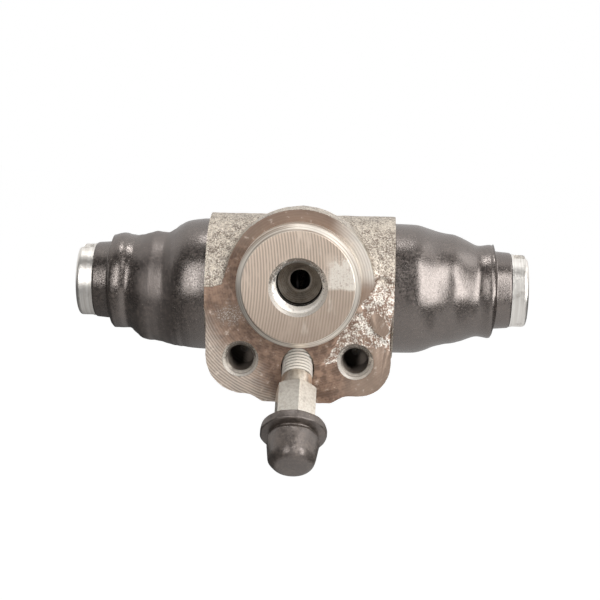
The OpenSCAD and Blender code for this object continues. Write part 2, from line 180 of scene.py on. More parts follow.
class Graph:
    """Node tree of a material or of the world, with lengths in millimetres of the shared frame."""

    def __init__(self, owner: Union[bpy.types.Material, bpy.types.World]) -> None:
        """Start an empty tree.

        Args:
            owner: the material or world that the tree belongs to.
        """
        owner.use_nodes = True
        self.tree = owner.node_tree
        self.tree.nodes.clear()

    def add(self, kind: str, settings: Settings = None, inputs: Sockets = None) -> bpy.types.Node:
        """Add any node.

        Args:
            kind: type of the node.
            settings: attributes to set before its sockets.
            inputs: values or links by socket.

        Returns:
            The node.
        """
        made = self.tree.nodes.new(kind)
        for key, setting in (settings or {}).items():
            setattr(made, key, setting)
        for key, value in (inputs or {}).items():
            self.feed(made.inputs[key], value)
        return made

    def node(
        self, kind: str, settings: Settings = None, inputs: Sockets = None, output: Union[int, str] = 0
    ) -> Value:
        """Add any node, and take one of its outputs.

        Args:
            kind: type of the node.
            settings: attributes to set before its sockets.
            inputs: values or links by socket.
            output: the socket to return.

        Returns:
            The chosen output.
        """
        return Value(self, self.add(kind, settings, inputs).outputs[output])

    def feed(self, socket: bpy.types.NodeSocket, value: Any) -> None:
        """Link a value to a socket, or set the socket to a number or colour."""
        if isinstance(value, Value):
            self.tree.links.new(value.socket, socket)
        else:
            socket.default_value = value

    @cached_property
    def position(self) -> Value:
        """Object coordinates, in metres."""
        return self.node("ShaderNodeTexCoord", output="Object")

    @cached_property
    def axes(self) -> Triple:
        """X, Y and Z in millimetres."""
        return tuple(part * (1 / MM) for part in self.split(self.position))

    def split(self, vector: Value) -> Triple:
        """Take a vector apart into X, Y and Z."""
        parts = self.add("ShaderNodeSeparateXYZ", inputs={0: vector}).outputs
        return tuple(Value(self, part) for part in parts)

    def noise(
        self,
        size: float,
        detail: float = 2.0,
        rough: float = 0.5,
        stretch: tuple[float, float, float] = (1.0, 1.0, 1.0),
        shift: float = 0.0,
    ) -> Value:
        """Add cloudy noise.

        Args:
            size: width of a patch, in millimetres.
            detail: number of finer layers.
            rough: strength of the finer layers.
            stretch: how many times longer a patch is along X, Y and Z.
            shift: moves the pattern, in millimetres, so that two don't match.

        Returns:
            Noise from 0 to 1.
        """
        squeeze = tuple(1 / part for part in stretch)
        place = self.node(
            "ShaderNodeMapping",
            {"vector_type": "POINT"},
            {"Vector": self.position, "Location": (shift * MM,) * 3, "Scale": squeeze},
        )
        sockets = {"Vector": place, "Scale": 1 / (size * MM), "Detail": detail, "Roughness": rough}
        return self.node("ShaderNodeTexNoise", {"noise_dimensions": "3D"}, sockets)

    def cells(self, size: float) -> Value:
        """Add a pattern of cells, 0 at each cell's centre.

        Args:
            size: width of a cell, in millimetres.

        Returns:
            Distance to the nearest centre, in cells.
        """
        sockets = {"Vector": self.position, "Scale": 1 / (size * MM)}
        return self.node("ShaderNodeTexVoronoi", {"feature": "F1"}, sockets)

    def step(
        self, value: Operand, low: float, high: float, least: float = 0.0, most: float = 1.0
    ) -> Value:
        """Rise smoothly from one number to another.

        Args:
            value: what to read.
            low: value that gives the least.
            high: value that gives the most.
            least: the number to start from.
            most: the number to reach.

        Returns:
            A mask from the least to the most.
        """
        settings = {"interpolation_type": "SMOOTHSTEP"}
        return self.node("ShaderNodeMapRange", settings, {0: value, 1: low, 2: high, 3: least, 4: most})

    def band(self, value: Operand, low: float, high: float, soft: float) -> Value:
        """Mask the values between two limits.

        Args:
            value: what to read.
            low: lower limit.
            high: upper limit.
            soft: width of each edge.

        Returns:
            A mask, 1 between the limits.
        """
        above = self.step(value, low - soft, low + soft)
        return above * (1 - self.step(value, high - soft, high + soft))

    def mix(self, mask: Operand, first: Paint, second: Paint) -> Value:
        """Mix two colours.

        Args:
            mask: share of the second.
            first: colour where the mask is 0.
            second: colour where the mask is 1.

        Returns:
            The mixed colour.
        """
        settings = {"data_type": "RGBA", "blend_type": "MIX"}
        return self.node("ShaderNodeMix", settings, {0: mask, 6: first, 7: second}, 2)

    def vector(self, operation: str, first: Any, second: Any, output: str = "Vector") -> Value:
        """Add one Vector Math node.

        Args:
            operation: the node's operation.
            first: its first vector.
            second: its second vector.
            output: the socket to return.

        Returns:
            The result's socket.
        """
        return self.node("ShaderNodeVectorMath", {"operation": operation}, {0: first, 1: second}, output)


class MaterialGraph(Graph):
    """Node tree of one material, around a Principled shader."""

    def __init__(self, name: str) -> None:
        """Start a material.

        Args:
            name: name of the material.
        """
        self.material = bpy.data.materials.new(name)
        super().__init__(self.material)
        self.shader = self.add("ShaderNodeBsdfPrincipled")
        self.surface = Value(self, self.shader.outputs["BSDF"])
        self.output = self.add("ShaderNodeOutputMaterial", inputs={"Surface": self.surface})

    def bump(self, height: Value, depth: float) -> None:
        """Raise the surface by a height map.

        Args:
            height: height from 0 to 1.
            depth: height of 1, in millimetres.
        """
        sockets = {"Height": height, "Strength": 1.0, "Distance": depth * MM}
        self.set("Normal", self.node("ShaderNodeBump", {}, sockets))

    def set(self, socket: str, value: Any) -> None:
        """Feed one socket of the shader."""
        self.feed(self.shader.inputs[socket], value)


MADE: dict[str, bpy.types.Material] = {}


class Finish:
    """A procedural material that is made once and put on pieces."""

    name: str = "finish"

    def paint(self, graph: MaterialGraph) -> None:
        """Fill the node tree."""
        raise NotImplementedError

    def dress(self, piece: bpy.types.Object) -> None:
        """Put the material on a piece.

        Args:
            piece: a new piece or a CAD node.
        """
        if self.name not in MADE:
            graph = MaterialGraph(self.name)
            self.paint(graph)
            MADE[self.name] = graph.material
        piece.data.materials.clear()
        piece.data.materials.append(MADE[self.name])


class Ground:
    """Patterns that the surfaces of a casting share."""

    def __init__(self, graph: MaterialGraph) -> None:
        """Add the patterns, from the finest to the broadest.

        Args:
            graph: the casting's node tree.
        """
        x, _, z = graph.axes
        self.radius = (x * x + z * z).root()
        self.fine = graph.noise(0.16, 2.0, 0.6, shift=3.0)
        self.grain = graph.noise(0.3, 3.0, 0.62)
        self.clump = graph.noise(1.3, 3.0, 0.55, shift=7.0)
        self.scuff = graph.noise(1.3, 4.0, 0.66, (1.2, 1.0, 1.0), 43.0)
        self.smear = graph.noise(2.6, 3.0, 0.6, (1.0, 1.0, 2.6), 31.0)
        self.cloud = graph.noise(6.0, 2.0, 0.5, shift=19.0)


@dataclass(frozen=True)
class Casting(Finish):
    """Sand-cast skin with a milled face, a turned pilot and drilled holes.

    Lengths are in millimetres. The milled face lies at Y 0, and the pilot stands out towards -Y.
    """

    name: str = "casting"
    skin_deep: Colour = srgb(132, 118, 106)
    skin: Colour = srgb(222, 211, 196)
    skin_glint: Colour = srgb(251, 246, 237)
    torn: Colour = srgb(146, 119, 102)
    milled: Colour = srgb(168, 138, 118)
    milled_grey: Colour = srgb(168, 147, 131)
    # Pale tone of real scuffs, also the painted reflection in the lower left corner.
    milled_glare_and_scuff: Colour = srgb(242, 229, 215)
    # Dark tone of real wear, also used as painted shade at the top of the face.
    milled_deep: Colour = srgb(124, 100, 86)
    turned: Colour = srgb(226, 208, 191)
    turned_pale: Colour = srgb(250, 242, 230)
    # Dark tone of the turned metal, also used as painted shade on the pilot's lower right part.
    turned_deep: Colour = srgb(172, 152, 136)
    drilled: Colour = srgb(240, 232, 222)
    # Dark tone of random grime, also the painted shade on the upper side of the holes.
    oily_and_shaded: Colour = srgb(112, 98, 86)
    seat: Colour = srgb(184, 174, 162)
    seat_deep: Colour = srgb(130, 120, 108)
    # Painted shade deep in the bolt holes.
    tapped: Colour = srgb(84, 75, 67)
    # Near black for the deep corners of the port: painted shadow.
    groove_shadow: Colour = srgb(40, 34, 30)
    pilot_h: float = 5.0
    port_r: float = 5.6
    drill_r: float = 2.0
    seat_r: float = 4.52
    seat_y: float = 2.0
    bolt_x: float = 11.0
    bolt_z: float = -14.9
    bolt_r: float = 3.55
    hole_end: float = 10.4
    mill_feed: float = 0.5
    cutter_x: float = -56.0
    cutter_z: float = 1.0
    cutter_feed: float = 0.55
    seat_feed: float = 0.34
    broken_left: Span = (3.0, 5.0)
    broken_top: Span = (0.5, 3.0)
    broken_depth: Span = (0.7, 1.1)
    swept_glare_corner: Span = (21.0, 31.0)
    grey_top: Span = (4.0, 10.0)
    grey_right: Span = (9.0, 14.0)
    shaded_top: Span = (7.0, 12.0)
    lit_right: Span = (6.5, 12.5)
    lit_top: Span = (-1.5, 2.5)
    rub_x: float = -12.9
    rub_z: float = -6.4
    rub_reach: Span = (0.6, 3.0)
    unshaded_span: Span = (-9.0, 4.0)
    patch_low: Span = (-0.5, 0.1)
    patch_high: Span = (4.6, 6.2)
    patch_left: Span = (3.6, 5.6)
    tapped_shade_from: Span = (0.5, 0.8)
    port_shade_rise: float = 0.03
    bolt_shade_rise: float = 0.06
    relief: float = 0.17

    def paint(self, graph: MaterialGraph) -> None:
        """Fill the node tree."""
        x, y, z = graph.axes
        ground = Ground(graph)
        radius = ground.radius
        skin, tone = self.rough_skin(graph, ground)
        milled, strokes = self.milled_face(graph, ground)
        turned, swirl = self.turned_face(graph, ground)
        rings = graph.noise(0.3, 2.0, 0.5, (60.0, 1.0, 60.0), 11.0)
        side = graph.mix(graph.step(rings, 0.3, 0.6), self.turned_deep, self.turned_pale)

        flat = 1 - graph.step(y, 0.006, 0.03)
        boss = 1 - graph.step(y, -0.12, -0.04)
        crown = 1 - graph.step(y, 0.02 - self.pilot_h, 0.05 - self.pilot_h)
        front = 1 - graph.step(y, self.hole_end, self.hole_end + 0.5)
        bolt_dx = abs(x) - self.bolt_x
        bolt_dz = z - self.bolt_z
        bolt_radius = (bolt_dx * bolt_dx + bolt_dz * bolt_dz).root()
        in_bolt = 1 - graph.step(bolt_radius, self.bolt_r - 0.02, self.bolt_r + 0.03)
        in_bolt = in_bolt * graph.step(y, 0.02, 0.06) * front
        in_port = 1 - graph.step(radius, self.port_r - 0.02, self.port_r + 0.03)
        in_port = in_port * (1 - crown) * front
        hole = in_bolt.over(in_port)
        cut = flat.over(hole)
        cone = in_port * (1 - graph.step(radius, self.seat_r - 0.04, self.seat_r))
        # Painted shadow: a dark ring in the corner at the bottom of the port.
        undercut_shadow = in_port * graph.step(radius, self.seat_r - 0.02, self.seat_r + 0.02)
        undercut_shadow = undercut_shadow * graph.step(y, self.seat_y - 1.0, self.seat_y - 0.4)
        # Painted shade: the walls of the holes darken towards their upper side.
        above = z * self.port_shade_rise * in_port + (bolt_dz * self.bolt_shade_rise - 0.03) * in_bolt

        colour = graph.mix(flat, skin, milled)
        colour = graph.mix(boss, colour, side)
        colour = graph.mix(crown, colour, turned)
        colour = graph.mix(hole, colour, self.drilled_wall(graph, ground, above))
        colour = graph.mix(cone, colour, self.port_seat(graph, ground))
        colour = graph.mix(undercut_shadow, colour, self.groove_shadow)
        # Painted shade: the bolt holes are dark beyond their mouths.
        colour = graph.mix(in_bolt * graph.step(y, *self.tapped_shade_from), colour, self.tapped)
        graph.set("Base Color", colour)
        skin_rough = 0.34 + ground.grain * 0.3
        cut_rough = 0.3 + ground.clump * 0.22
        graph.set("Roughness", skin_rough + (cut_rough - skin_rough) * cut)
        graph.set("Metallic", 0.9 - (1 - tone) * (1 - cut) * 0.35 - cut * 0.3)
        lines = strokes * (1 - boss) + swirl * crown + rings * (boss - crown)
        skin_height = ground.grain * 0.6 + ground.clump * 0.4 + ground.fine * 0.2
        cut_height = lines * 0.08 + ground.fine * 0.04 + ground.smear * 0.1 + ground.scuff * 0.06
        graph.bump(skin_height + (cut_height - skin_height) * cut, self.relief)

    def rough_skin(self, graph: MaterialGraph, ground: Ground) -> tuple[Value, Value]:
        """Colour the sand-cast skin, which is broken on the right of the flange.

        Args:
            graph: the node tree.
            ground: the shared patterns.

        Returns:
            The colour, and how far the skin is bare of scale.
        """
        x, y, z = graph.axes
        grain, clump = ground.grain, ground.clump
        tone = graph.step(grain * 0.7 + clump * 0.3 + (ground.cloud - 0.5) * 0.14, 0.38, 0.58)
        skin = graph.mix(tone, self.skin_deep, self.skin)
        glint = graph.step(grain * 0.6 + ground.fine * 0.4, 0.545, 0.62)
        skin = graph.mix(glint * 0.8, skin, self.skin_glint)
        broken = graph.step(x, *self.broken_left) * (1 - graph.step(z, *self.broken_top))
        broken = broken * (1 - graph.step(y, *self.broken_depth))
        flakes = graph.step(grain * 0.65 + clump * 0.35, 0.45, 0.6)
        chipped = graph.mix(flakes, self.torn, self.skin_glint)
        return graph.mix(broken * 0.9, skin, chipped), tone

    def milled_face(self, graph: MaterialGraph, ground: Ground) -> tuple[Value, Value]:
        """Colour the milled face, with the cutter's strokes, scuffs, a rubbed spot, a painted reflection in its
        lower left corner, painted light on its upper right and painted shade at its top.

        Args:
            graph: the node tree.
            ground: the shared patterns.

        Returns:
            The colour and the strokes.
        """
        x, _, z = graph.axes
        cloud, clump, scuff = ground.cloud, ground.clump, ground.scuff
        sweep = (ground.radius * (TURN / self.mill_feed) + (cloud + clump) * 3.4).sine() * 0.5 + 0.5
        corner = graph.step(0 - x - z + (cloud - 0.5) * 8.0, *self.swept_glare_corner)
        worn = graph.step(clump * 0.5 + scuff * 0.5, 0.4, 0.62)
        face = graph.mix(worn, self.milled_deep, self.milled)
        aside = graph.step(z, *self.grey_top).over(graph.step(x + cloud * 4.0, *self.grey_right))
        face = graph.mix(aside * 0.8, face, self.milled_grey)
        # Painted shade: the top of the face is darker.
        face = graph.mix(graph.step(z, *self.shaded_top) * 0.45, face, self.milled_deep)
        # Painted light: the right side of the face, above its middle, is brighter.
        lit = graph.step(x + cloud * 3.0, *self.lit_right) * graph.step(z, *self.lit_top)
        face = graph.mix(lit * (0.55 + sweep * 0.3), face, self.skin_glint)
        # Painted reflection: the lower left corner and its cutter arcs are paler; real scuffs are paler too.
        glare_and_scuff = sweep * corner * 0.5 + corner * 0.3 + sweep * 0.04
        glare_and_scuff = glare_and_scuff + graph.step(scuff, 0.58, 0.72) * 0.55
        face = graph.mix(glare_and_scuff.under(1.0), face, self.milled_glare_and_scuff)
        rub_x = (x - self.rub_x) * 0.8
        rub_z = z - self.rub_z
        reach = (rub_x * rub_x + rub_z * rub_z).root() + (clump - 0.5) * 4.0
        rubbed = 1 - graph.step(reach, *self.rub_reach)
        face = graph.mix(rubbed * 0.5, face, self.milled_grey)
        bright = graph.step(ground.grain * 0.6 + ground.fine * 0.4, 0.5, 0.6)
        face = graph.mix(rubbed * bright * 0.7, face, self.skin_glint)
        return face, sweep * (0.2 + corner * 0.8)

    def turned_face(self, graph: MaterialGraph, ground: Ground) -> tuple[Value, Value]:
        """Colour the pilot's end, with the arcs of a wide cutter, a bright scraped patch and painted shade on its
        lower right part.

        Args:
            graph: the node tree.
            ground: the shared patterns.

        Returns:
            The colour and the arcs.
        """
        x, _, z = graph.axes
        clump, grain, smear = ground.clump, ground.grain, ground.smear
        far_x = x - self.cutter_x
        far_z = z - self.cutter_z
        cutter = (far_x * far_x + far_z * far_z).root()
        swirl = (cutter * (TURN / self.cutter_feed) + (clump - 0.5) * 1.4).sine() * 0.5 + 0.5
        scratch = graph.noise(0.7, 3.0, 0.7, (1.6, 1.0, 1.0), 53.0)
        face = graph.mix(swirl * 0.8 * graph.step(smear, 0.28, 0.5), self.turned, self.turned_deep)
        # Painted shade: the lower right part of the pilot's end is darker.
        unshaded = graph.step(z * 0.8 - x * 0.3, *self.unshaded_span)
        face = graph.mix((1 - unshaded) * 0.6, face, self.turned_deep)
        tear = (clump - 0.5) * 6.0 + (grain - 0.5) * 3.6
        patch = graph.step(z + tear * 0.15, *self.patch_low) * (1 - graph.step(z + tear, *self.patch_high))
        patch = patch * graph.step(x + tear - z * 0.3, *self.patch_left)
        patch = patch * (1 - graph.step(grain * 0.5 + scratch * 0.5, 0.5, 0.6) * 0.6)
        face = graph.mix(patch * 0.9, face, self.turned_pale)
        return graph.mix(graph.step(smear, 0.6, 0.75) * 0.35, face, self.turned_pale), swirl

    def drilled_wall(self, graph: MaterialGraph, ground: Ground, above: Value) -> Value:
        """Colour the walls of the holes, with random grime and painted shade that grow towards their upper side.

        Args:
            graph: the node tree.
            ground: the shared patterns.
            above: how far a place lies above the hole's axis, as a share of the painted shade.

        Returns:
            The colour.
        """
        # Random grime, with painted shade that grows towards the upper side.
        grime_and_shade = graph.step(ground.grain * 0.6 + ground.clump * 0.4 + above, 0.5, 0.64)
        grime_and_shade = grime_and_shade.over(graph.step(ground.fine, 0.57, 0.66) * 0.6)
        return graph.mix(grime_and_shade * 0.8, self.drilled, self.oily_and_shaded)

    def port_seat(self, graph: MaterialGraph, ground: Ground) -> Value:
        """Colour the sealing cone, with its turning lines, bright inner edge and a dark outer ring of painted
        shadow.

        Args:
            graph: the node tree.
            ground: the shared patterns.

        Returns:
            The colour.
        """
        radius, clump = ground.radius, ground.clump
        turning = (radius * (TURN / self.seat_feed) + clump * 1.2).sine() * 0.25 + 0.25
        mottle = graph.step(ground.grain * 0.5 + clump * 0.5, 0.38, 0.62)
        cone = graph.mix(mottle * 0.6 + turning * 0.7, self.seat_deep, self.seat)
        edge = graph.band(radius, self.drill_r, self.drill_r + 0.3, 0.06)
        cone = graph.mix(edge * 0.6, cone, self.drilled)
        # Painted shadow: the outer edge of the cone darkens to near black.
        return graph.mix(graph.step(radius, self.seat_r - 0.4, self.seat_r - 0.28), cone, self.groove_shadow)


@dataclass(frozen=True)
class Rubber(Finish):
    """Dusty moulded rubber."""

    name: str = "rubber"
    base: Colour = srgb(26, 21, 19)
    dust: Colour = srgb(104, 93, 86)
    speck: Colour = srgb(190, 180, 170)
    dust_share: float = 0.24
    gloss: float = 0.25
    grain: float = 0.22
    powder_share: float = 0.32
    dull_low: float = 0.0
    dull_high: float = 0.0
    index: float = 1.9
    sheen: Colour = (1.0, 0.89, 0.83, 1.0)

    def paint(self, graph: MaterialGraph) -> None:
        """Fill the node tree."""
        cloud = graph.noise(3.5, 3.0, 0.6)
        film = graph.noise(0.9, 4.0, 0.65, shift=5.0)
        grit = graph.noise(self.grain, 3.0, 0.6, shift=9.0)
        specks = 1 - graph.step(graph.cells(1.1), 0.05, 0.11)
        powder = graph.noise(0.42, 3.0, 0.7, shift=23.0)
        dusty = graph.step(cloud * 0.5 + film * 0.5, 0.42, 0.66) * self.dust_share
        dusty = dusty + graph.step(powder, 0.47, 0.66) * self.powder_share
        colour = graph.mix(dusty, self.base, self.dust)
        colour = graph.mix(specks * graph.step(cloud, 0.45, 0.6) * 0.7, colour, self.speck)
        graph.set("Base Color", colour)
        rough = self.gloss + dusty * 0.2 + (powder - 0.5) * 0.16
        if self.dull_high > self.dull_low:
            along = graph.axes[0] + (cloud - 0.5) * 5.0
            rough = rough + graph.band(along, self.dull_low, self.dull_high, 1.2) * 0.16
        graph.set("Roughness", rough)
        graph.set("Metallic", 0.0)
        graph.set("Specular IOR Level", 1.0)
        graph.set("IOR", self.index)
        graph.set("Specular Tint", self.sheen)
        graph.bump(grit * 0.5 + film * 0.25 + powder * 0.2 + specks * 0.4, 0.05)


@dataclass(frozen=True)
class TurnedMetal(Finish):
    """Bright metal turned along an axis, with fine rings and light scuffs."""

    name: str = "turned_metal"
    bright: Colour = srgb(246, 242, 236)
    shade: Colour = srgb(204, 197, 189)
    stain: Colour = srgb(128, 116, 106)
    gloss: float = 0.28
    ring_size: float = 0.28
    along: tuple[float, float, float] = (1.0, 60.0, 60.0)

    def paint(self, graph: MaterialGraph) -> None:
        """Fill the node tree."""
        rings = graph.noise(self.ring_size, 2.0, 0.55, self.along)
        cloud = graph.noise(2.4, 3.0, 0.55, shift=13.0)
        scuff = graph.noise(0.5, 3.0, 0.6, shift=2.0)
        colour = graph.mix(graph.step(rings, 0.35, 0.68) * 0.5, self.bright, self.shade)
        stained = graph.step(cloud, 0.55, 0.74) * 0.4
        colour = graph.mix(stained, colour, self.stain)
        graph.set("Base Color", colour)
        graph.set("Roughness", self.gloss + cloud * 0.14 + graph.step(scuff, 0.5, 0.7) * 0.1)
        graph.set("Metallic", 1.0)
        graph.bump(rings * 0.6 + scuff * 0.3, 0.02)


@dataclass(frozen=True)
class TappedHole(Finish):
    """Thread of a drilled hole, bright at its mouth, darker further in and towards its upper side from painted
    shade, with random swarf and grime.
    """

    name: str = "tapped_hole"
    mouth: float = 0.0
    near: float = 0.3
    fade: float = 1.7
    bright: Colour = srgb(228, 219, 208)
    # Colour of the painted shade deep in the hole.
    deep: Colour = srgb(84, 75, 67)
    axis_z: float = -14.9
    # How fast the painted shade grows towards the hole's upper side.
    stain: float = 0.06

    def paint(self, graph: MaterialGraph) -> None:
        """Fill the node tree."""
        depth = graph.axes[1] - self.mouth
        cloud = graph.noise(1.4, 3.0, 0.6, shift=17.0)
        swarf = graph.noise(0.3, 3.0, 0.6, shift=4.0)
        # Painted shade: the thread darkens further into the hole.
        inside = graph.step(depth + (cloud - 0.5) * 0.8, self.near, self.fade)
        colour = graph.mix(inside, self.bright, self.deep)
        colour = graph.mix(graph.step(swarf, 0.56, 0.7) * 0.4, colour, self.deep)
        # Painted shade towards the hole's upper side, mixed with random grime.
        above = (graph.axes[2] - self.axis_z) * self.stain
        grime_and_shade = graph.step(swarf * 0.5 + cloud * 0.5 + above, 0.5, 0.62)
        colour = graph.mix(grime_and_shade * 0.75, colour, self.deep)
        graph.set("Base Color", colour)
        graph.set("Roughness", 0.38 + cloud * 0.2)
        graph.set("Metallic", 0.55)
        graph.bump(swarf * 0.5 + cloud * 0.4, 0.02)


@dataclass(frozen=True)
class ScrewThread(Finish):
    """Plated thread of a screw, bright on its crests, with painted shade darkening its grooves."""

    name: str = "screw_thread"
    start: tuple[float, float, float] = (0.0, 0.0, 0.0)
    axis: tuple[float, float, float] = (0.0, 0.0, 1.0)
    root_r: float = 2.5
    crest: Colour = srgb(250, 244, 234)
    # Colour of the thread's roots, which is painted shade.
    groove_shadow: Colour = srgb(134, 121, 107)

    def paint(self, graph: MaterialGraph) -> None:
        """Fill the node tree."""
        place = graph.vector("SUBTRACT", graph.position, self.start)
        along = graph.vector("DOT_PRODUCT", place, self.axis, "Value")
        length = graph.vector("LENGTH", place, (0.0, 0.0, 0.0), "Value")
        radius = (length * length - along * along).root() * (1 / MM)
        dirt = graph.noise(0.4, 3.0, 0.6, shift=6.0)
        # Painted shade: the colour darkens towards the roots of the thread.
        unshaded_crest = graph.step(radius + (dirt - 0.5) * 0.12, self.root_r - 0.02, self.root_r + 0.22)
        graph.set("Base Color", graph.mix(unshaded_crest, self.groove_shadow, self.crest))
        graph.set("Roughness", 0.42 - unshaded_crest * 0.18 + dirt * 0.1)
        graph.set("Metallic", 0.25)
        graph.bump(dirt, 0.015)


class Sense(Enum):
    """Which way a boolean works."""

    JOIN = "UNION"
    CUT = "DIFFERENCE"
    SHARE = "INTERSECT"


def rounded(corners: Sequence[Corner], steps: int = 5) -> list[Point]:
    """Round the corners of an open profile.

    Args:
        corners: radius, height and rounding of each corner; the ends stay sharp.
        steps: number of pieces in a rounding.

    Returns:
        Points of the profile.
    """
    points: list[Point] = []
    for index, (across, along, size) in enumerate(corners):
        here = Vector((across, along))
        if size <= 0 or index in (0, len(corners) - 1):
            points.append((across, along))
            continue
        back = Vector(corners[index - 1][:2]) - here
        ahead = Vector(corners[index + 1][:2]) - here
        reach = min(size, back.length * 0.49, ahead.length * 0.49)
        start = here + back.normalized() * reach
        end = here + ahead.normalized() * reach
        for step in range(steps + 1):
            share = step / steps
            point = start * (1 - share) ** 2 + here * (2 * share * (1 - share)) + end * share ** 2
            points.append((point.x, point.y))
    return points


def flowing(stations: Sequence[Point], step: float) -> list[Point]:
    """Draw a smooth line through stations.

    Args:
        stations: height and radius of each station, in order of height.
        step: distance between the points along the height.

    Returns:
        Radius and height of each point.
    """
    points: list[Point] = []
    last = len(stations) - 1
    for index in range(last):
        before = Vector(stations[max(index - 1, 0)])
        start = Vector(stations[index])
        end = Vector(stations[index + 1])
        after = Vector(stations[min(index + 2, last)])
        count = max(1, round((end.x - start.x) / step))
        for part in range(count):
            share = part / count
            near = (end - before) * 0.5
            far = (after - start) * 0.5
            square, cube = share * share, share ** 3
            spot = start * (2 * cube - 3 * square + 1) + near * (cube - 2 * square + share)
            spot += end * (3 * square - 2 * cube) + far * (cube - square)
            points.append((spot.y, spot.x))
    points.append((stations[last][1], stations[last][0]))
    return points


def ripple(place: Vector, rate: float, depth: float, shift: Corner = (0.0, 0.0, 0.0)) -> float:
    """Read a wave of uneven height at a place.

    Args:
        place: where to read it.
        rate: number of waves in a millimetre.
        depth: height of a wave.
        shift: moves the waves, so that two sets don't match.

    Returns:
        The height.
    """
    return noise.noise(place * rate + Vector(shift)) * depth


class Blank:
    """A mesh in the making, in millimetres, that operators shape."""

    def __init__(self) -> None:
        """Start empty."""
        self.mesh = bmesh.new()

    def _fresh(self) -> list[bmesh.types.BMVert]:
        """List the vertices added since the last mark."""
        return [vert for vert in self.mesh.verts if not vert.tag]

    def _mark(self) -> None:
        """Mark every vertex as old."""
        for vert in self.mesh.verts:
            vert.tag = True

    def _settle(self, place: Matrix, closed: bool) -> None:
        """Merge, place and orient what was just added.

        Args:
            place: where the new vertices go.
            closed: whether they make a closed shell, whose faces are turned outwards.
        """
        bmesh.ops.remove_doubles(self.mesh, verts=self._fresh(), dist=1e-4)
        fresh = self._fresh()
        bmesh.ops.transform(self.mesh, matrix=place, verts=fresh)
        if closed:
            faces = [face for face in self.mesh.faces if not face.verts[0].tag]
            bmesh.ops.recalc_face_normals(self.mesh, faces=faces)

    def _spin(self, profile: Sequence[Point], ring: bool, turns: float, rise: float, steps: int) -> None:
        """Spin a new profile about the local Z axis.

        Args:
            profile: radius and height of each point.
            ring: whether the last point joins the first.
            turns: number of turns.
            rise: rise of one step.
            steps: number of steps in all.
        """
        self._mark()
        verts = [self.mesh.verts.new((across, 0.0, along)) for across, along in profile]
        pairs = list(zip(verts, verts[1:]))
        if ring:
            pairs.append((verts[-1], verts[0]))
        edges = [self.mesh.edges.new(pair) for pair in pairs]
        bmesh.ops.spin(
            self.mesh,
            geom=verts + edges,
            cent=(0, 0, 0),
            axis=(0, 0, 1),
            dvec=(0, 0, rise),
            angle=TURN * turns,
            steps=steps,
            use_merge=rise == 0,
        )

    def turn(
        self, profile: Sequence[Point], place: Matrix, steps: int = 96, ring: bool = False
    ) -> "Blank":
        """Turn a profile about the local Z axis.

        Args:
            profile: radius and height of each point.
            place: where the local axis goes.
            steps: number of faces round.
            ring: whether the last point joins the first.

        Returns:
            This blank.
        """
        self._spin(profile, ring, 1.0, 0.0, steps)
        self._settle(place, True)
        return self

    def wind(
        self, profile: Sequence[Point], pitch: float, turns: float, place: Matrix, steps: int = 36
    ) -> "Blank":
        """Wind a profile into a helix about the local Z axis.

        Args:
            profile: radius and height of each point at the start.
            pitch: rise of one turn.
            turns: number of turns.
            place: where the local axis goes.
            steps: number of faces in a turn.

        Returns:
            This blank.
        """
        self._spin(profile, False, turns, pitch / steps, round(steps * turns))
        self._settle(place, False)
        return self

    def face(self, outwards: bool) -> "Blank":
        """Turn every face away from the local Z axis, or towards it.

        Args:
            outwards: whether the faces look away from the axis.

        Returns:
            This blank.
        """
        self.mesh.normal_update()
        for face in self.mesh.faces:
            middle = face.calc_center_median()
            if (face.normal.x * middle.x + face.normal.y * middle.y > 0) != outwards:
                face.normal_flip()
        return self

    def put(self, place: Matrix) -> "Blank":
        """Move the whole mesh to its place."""
        bmesh.ops.transform(self.mesh, matrix=place, verts=self.mesh.verts)
        return self

    def block(self, low: Vector, high: Vector) -> "Blank":
        """Add a box.

        Args:
            low: lowest corner.
            high: highest corner.

        Returns:
            This blank.
        """
        self._mark()
        size = Matrix.Diagonal((*(high - low), 1.0))
        bmesh.ops.create_cube(self.mesh, size=1.0, matrix=Matrix.Translation((low + high) / 2) @ size)
        return self

    def bevel(self, chosen: Callable[[Vector, Vector], bool], size: float, steps: int) -> "Blank":
        """Round chosen edges.

        Args:
            chosen: says for an edge's two ends whether it is rounded.
            size: width of the rounding.
            steps: number of faces across it.

        Returns:
            This blank.
        """
        edges = [edge for edge in self.mesh.edges if chosen(edge.verts[0].co, edge.verts[1].co)]
        bmesh.ops.bevel(
            self.mesh,
            geom=edges,
            offset=size,
            offset_type="OFFSET",
            affect="EDGES",
            segments=steps,
            profile=0.5,
            material=-1,
            clamp_overlap=True,
        )
        return self

    def move(self, shift: Callable[[Vector, Vector], Vector]) -> "Blank":
        """Move every vertex.

        Args:
            shift: gives the new place from a vertex's place and normal.

        Returns:
            This blank.
        """
        self.mesh.normal_update()
        for vert in self.mesh.verts:
            vert.co = shift(vert.co, vert.normal)
        return self

    def smooth(self, rounds: int) -> "Blank":
        """Relax every vertex.

        Args:
            rounds: number of passes.

        Returns:
            This blank.
        """
        for _ in range(rounds):
            bmesh.ops.smooth_vert(
                self.mesh,
                verts=self.mesh.verts,
                factor=0.5,
                use_axis_x=True,
                use_axis_y=True,
                use_axis_z=True,
            )
        return self

    def _object(self, name: str) -> bpy.types.Object:
        """Copy the mesh into a new object of the scene.

        Args:
            name: name of the object.

        Returns:
            The object.
        """
        data = bpy.data.meshes.new(name)
        self.mesh.to_mesh(data)
        made = bpy.data.objects.new(name, data)
        bpy.context.scene.collection.objects.link(made)
        return made

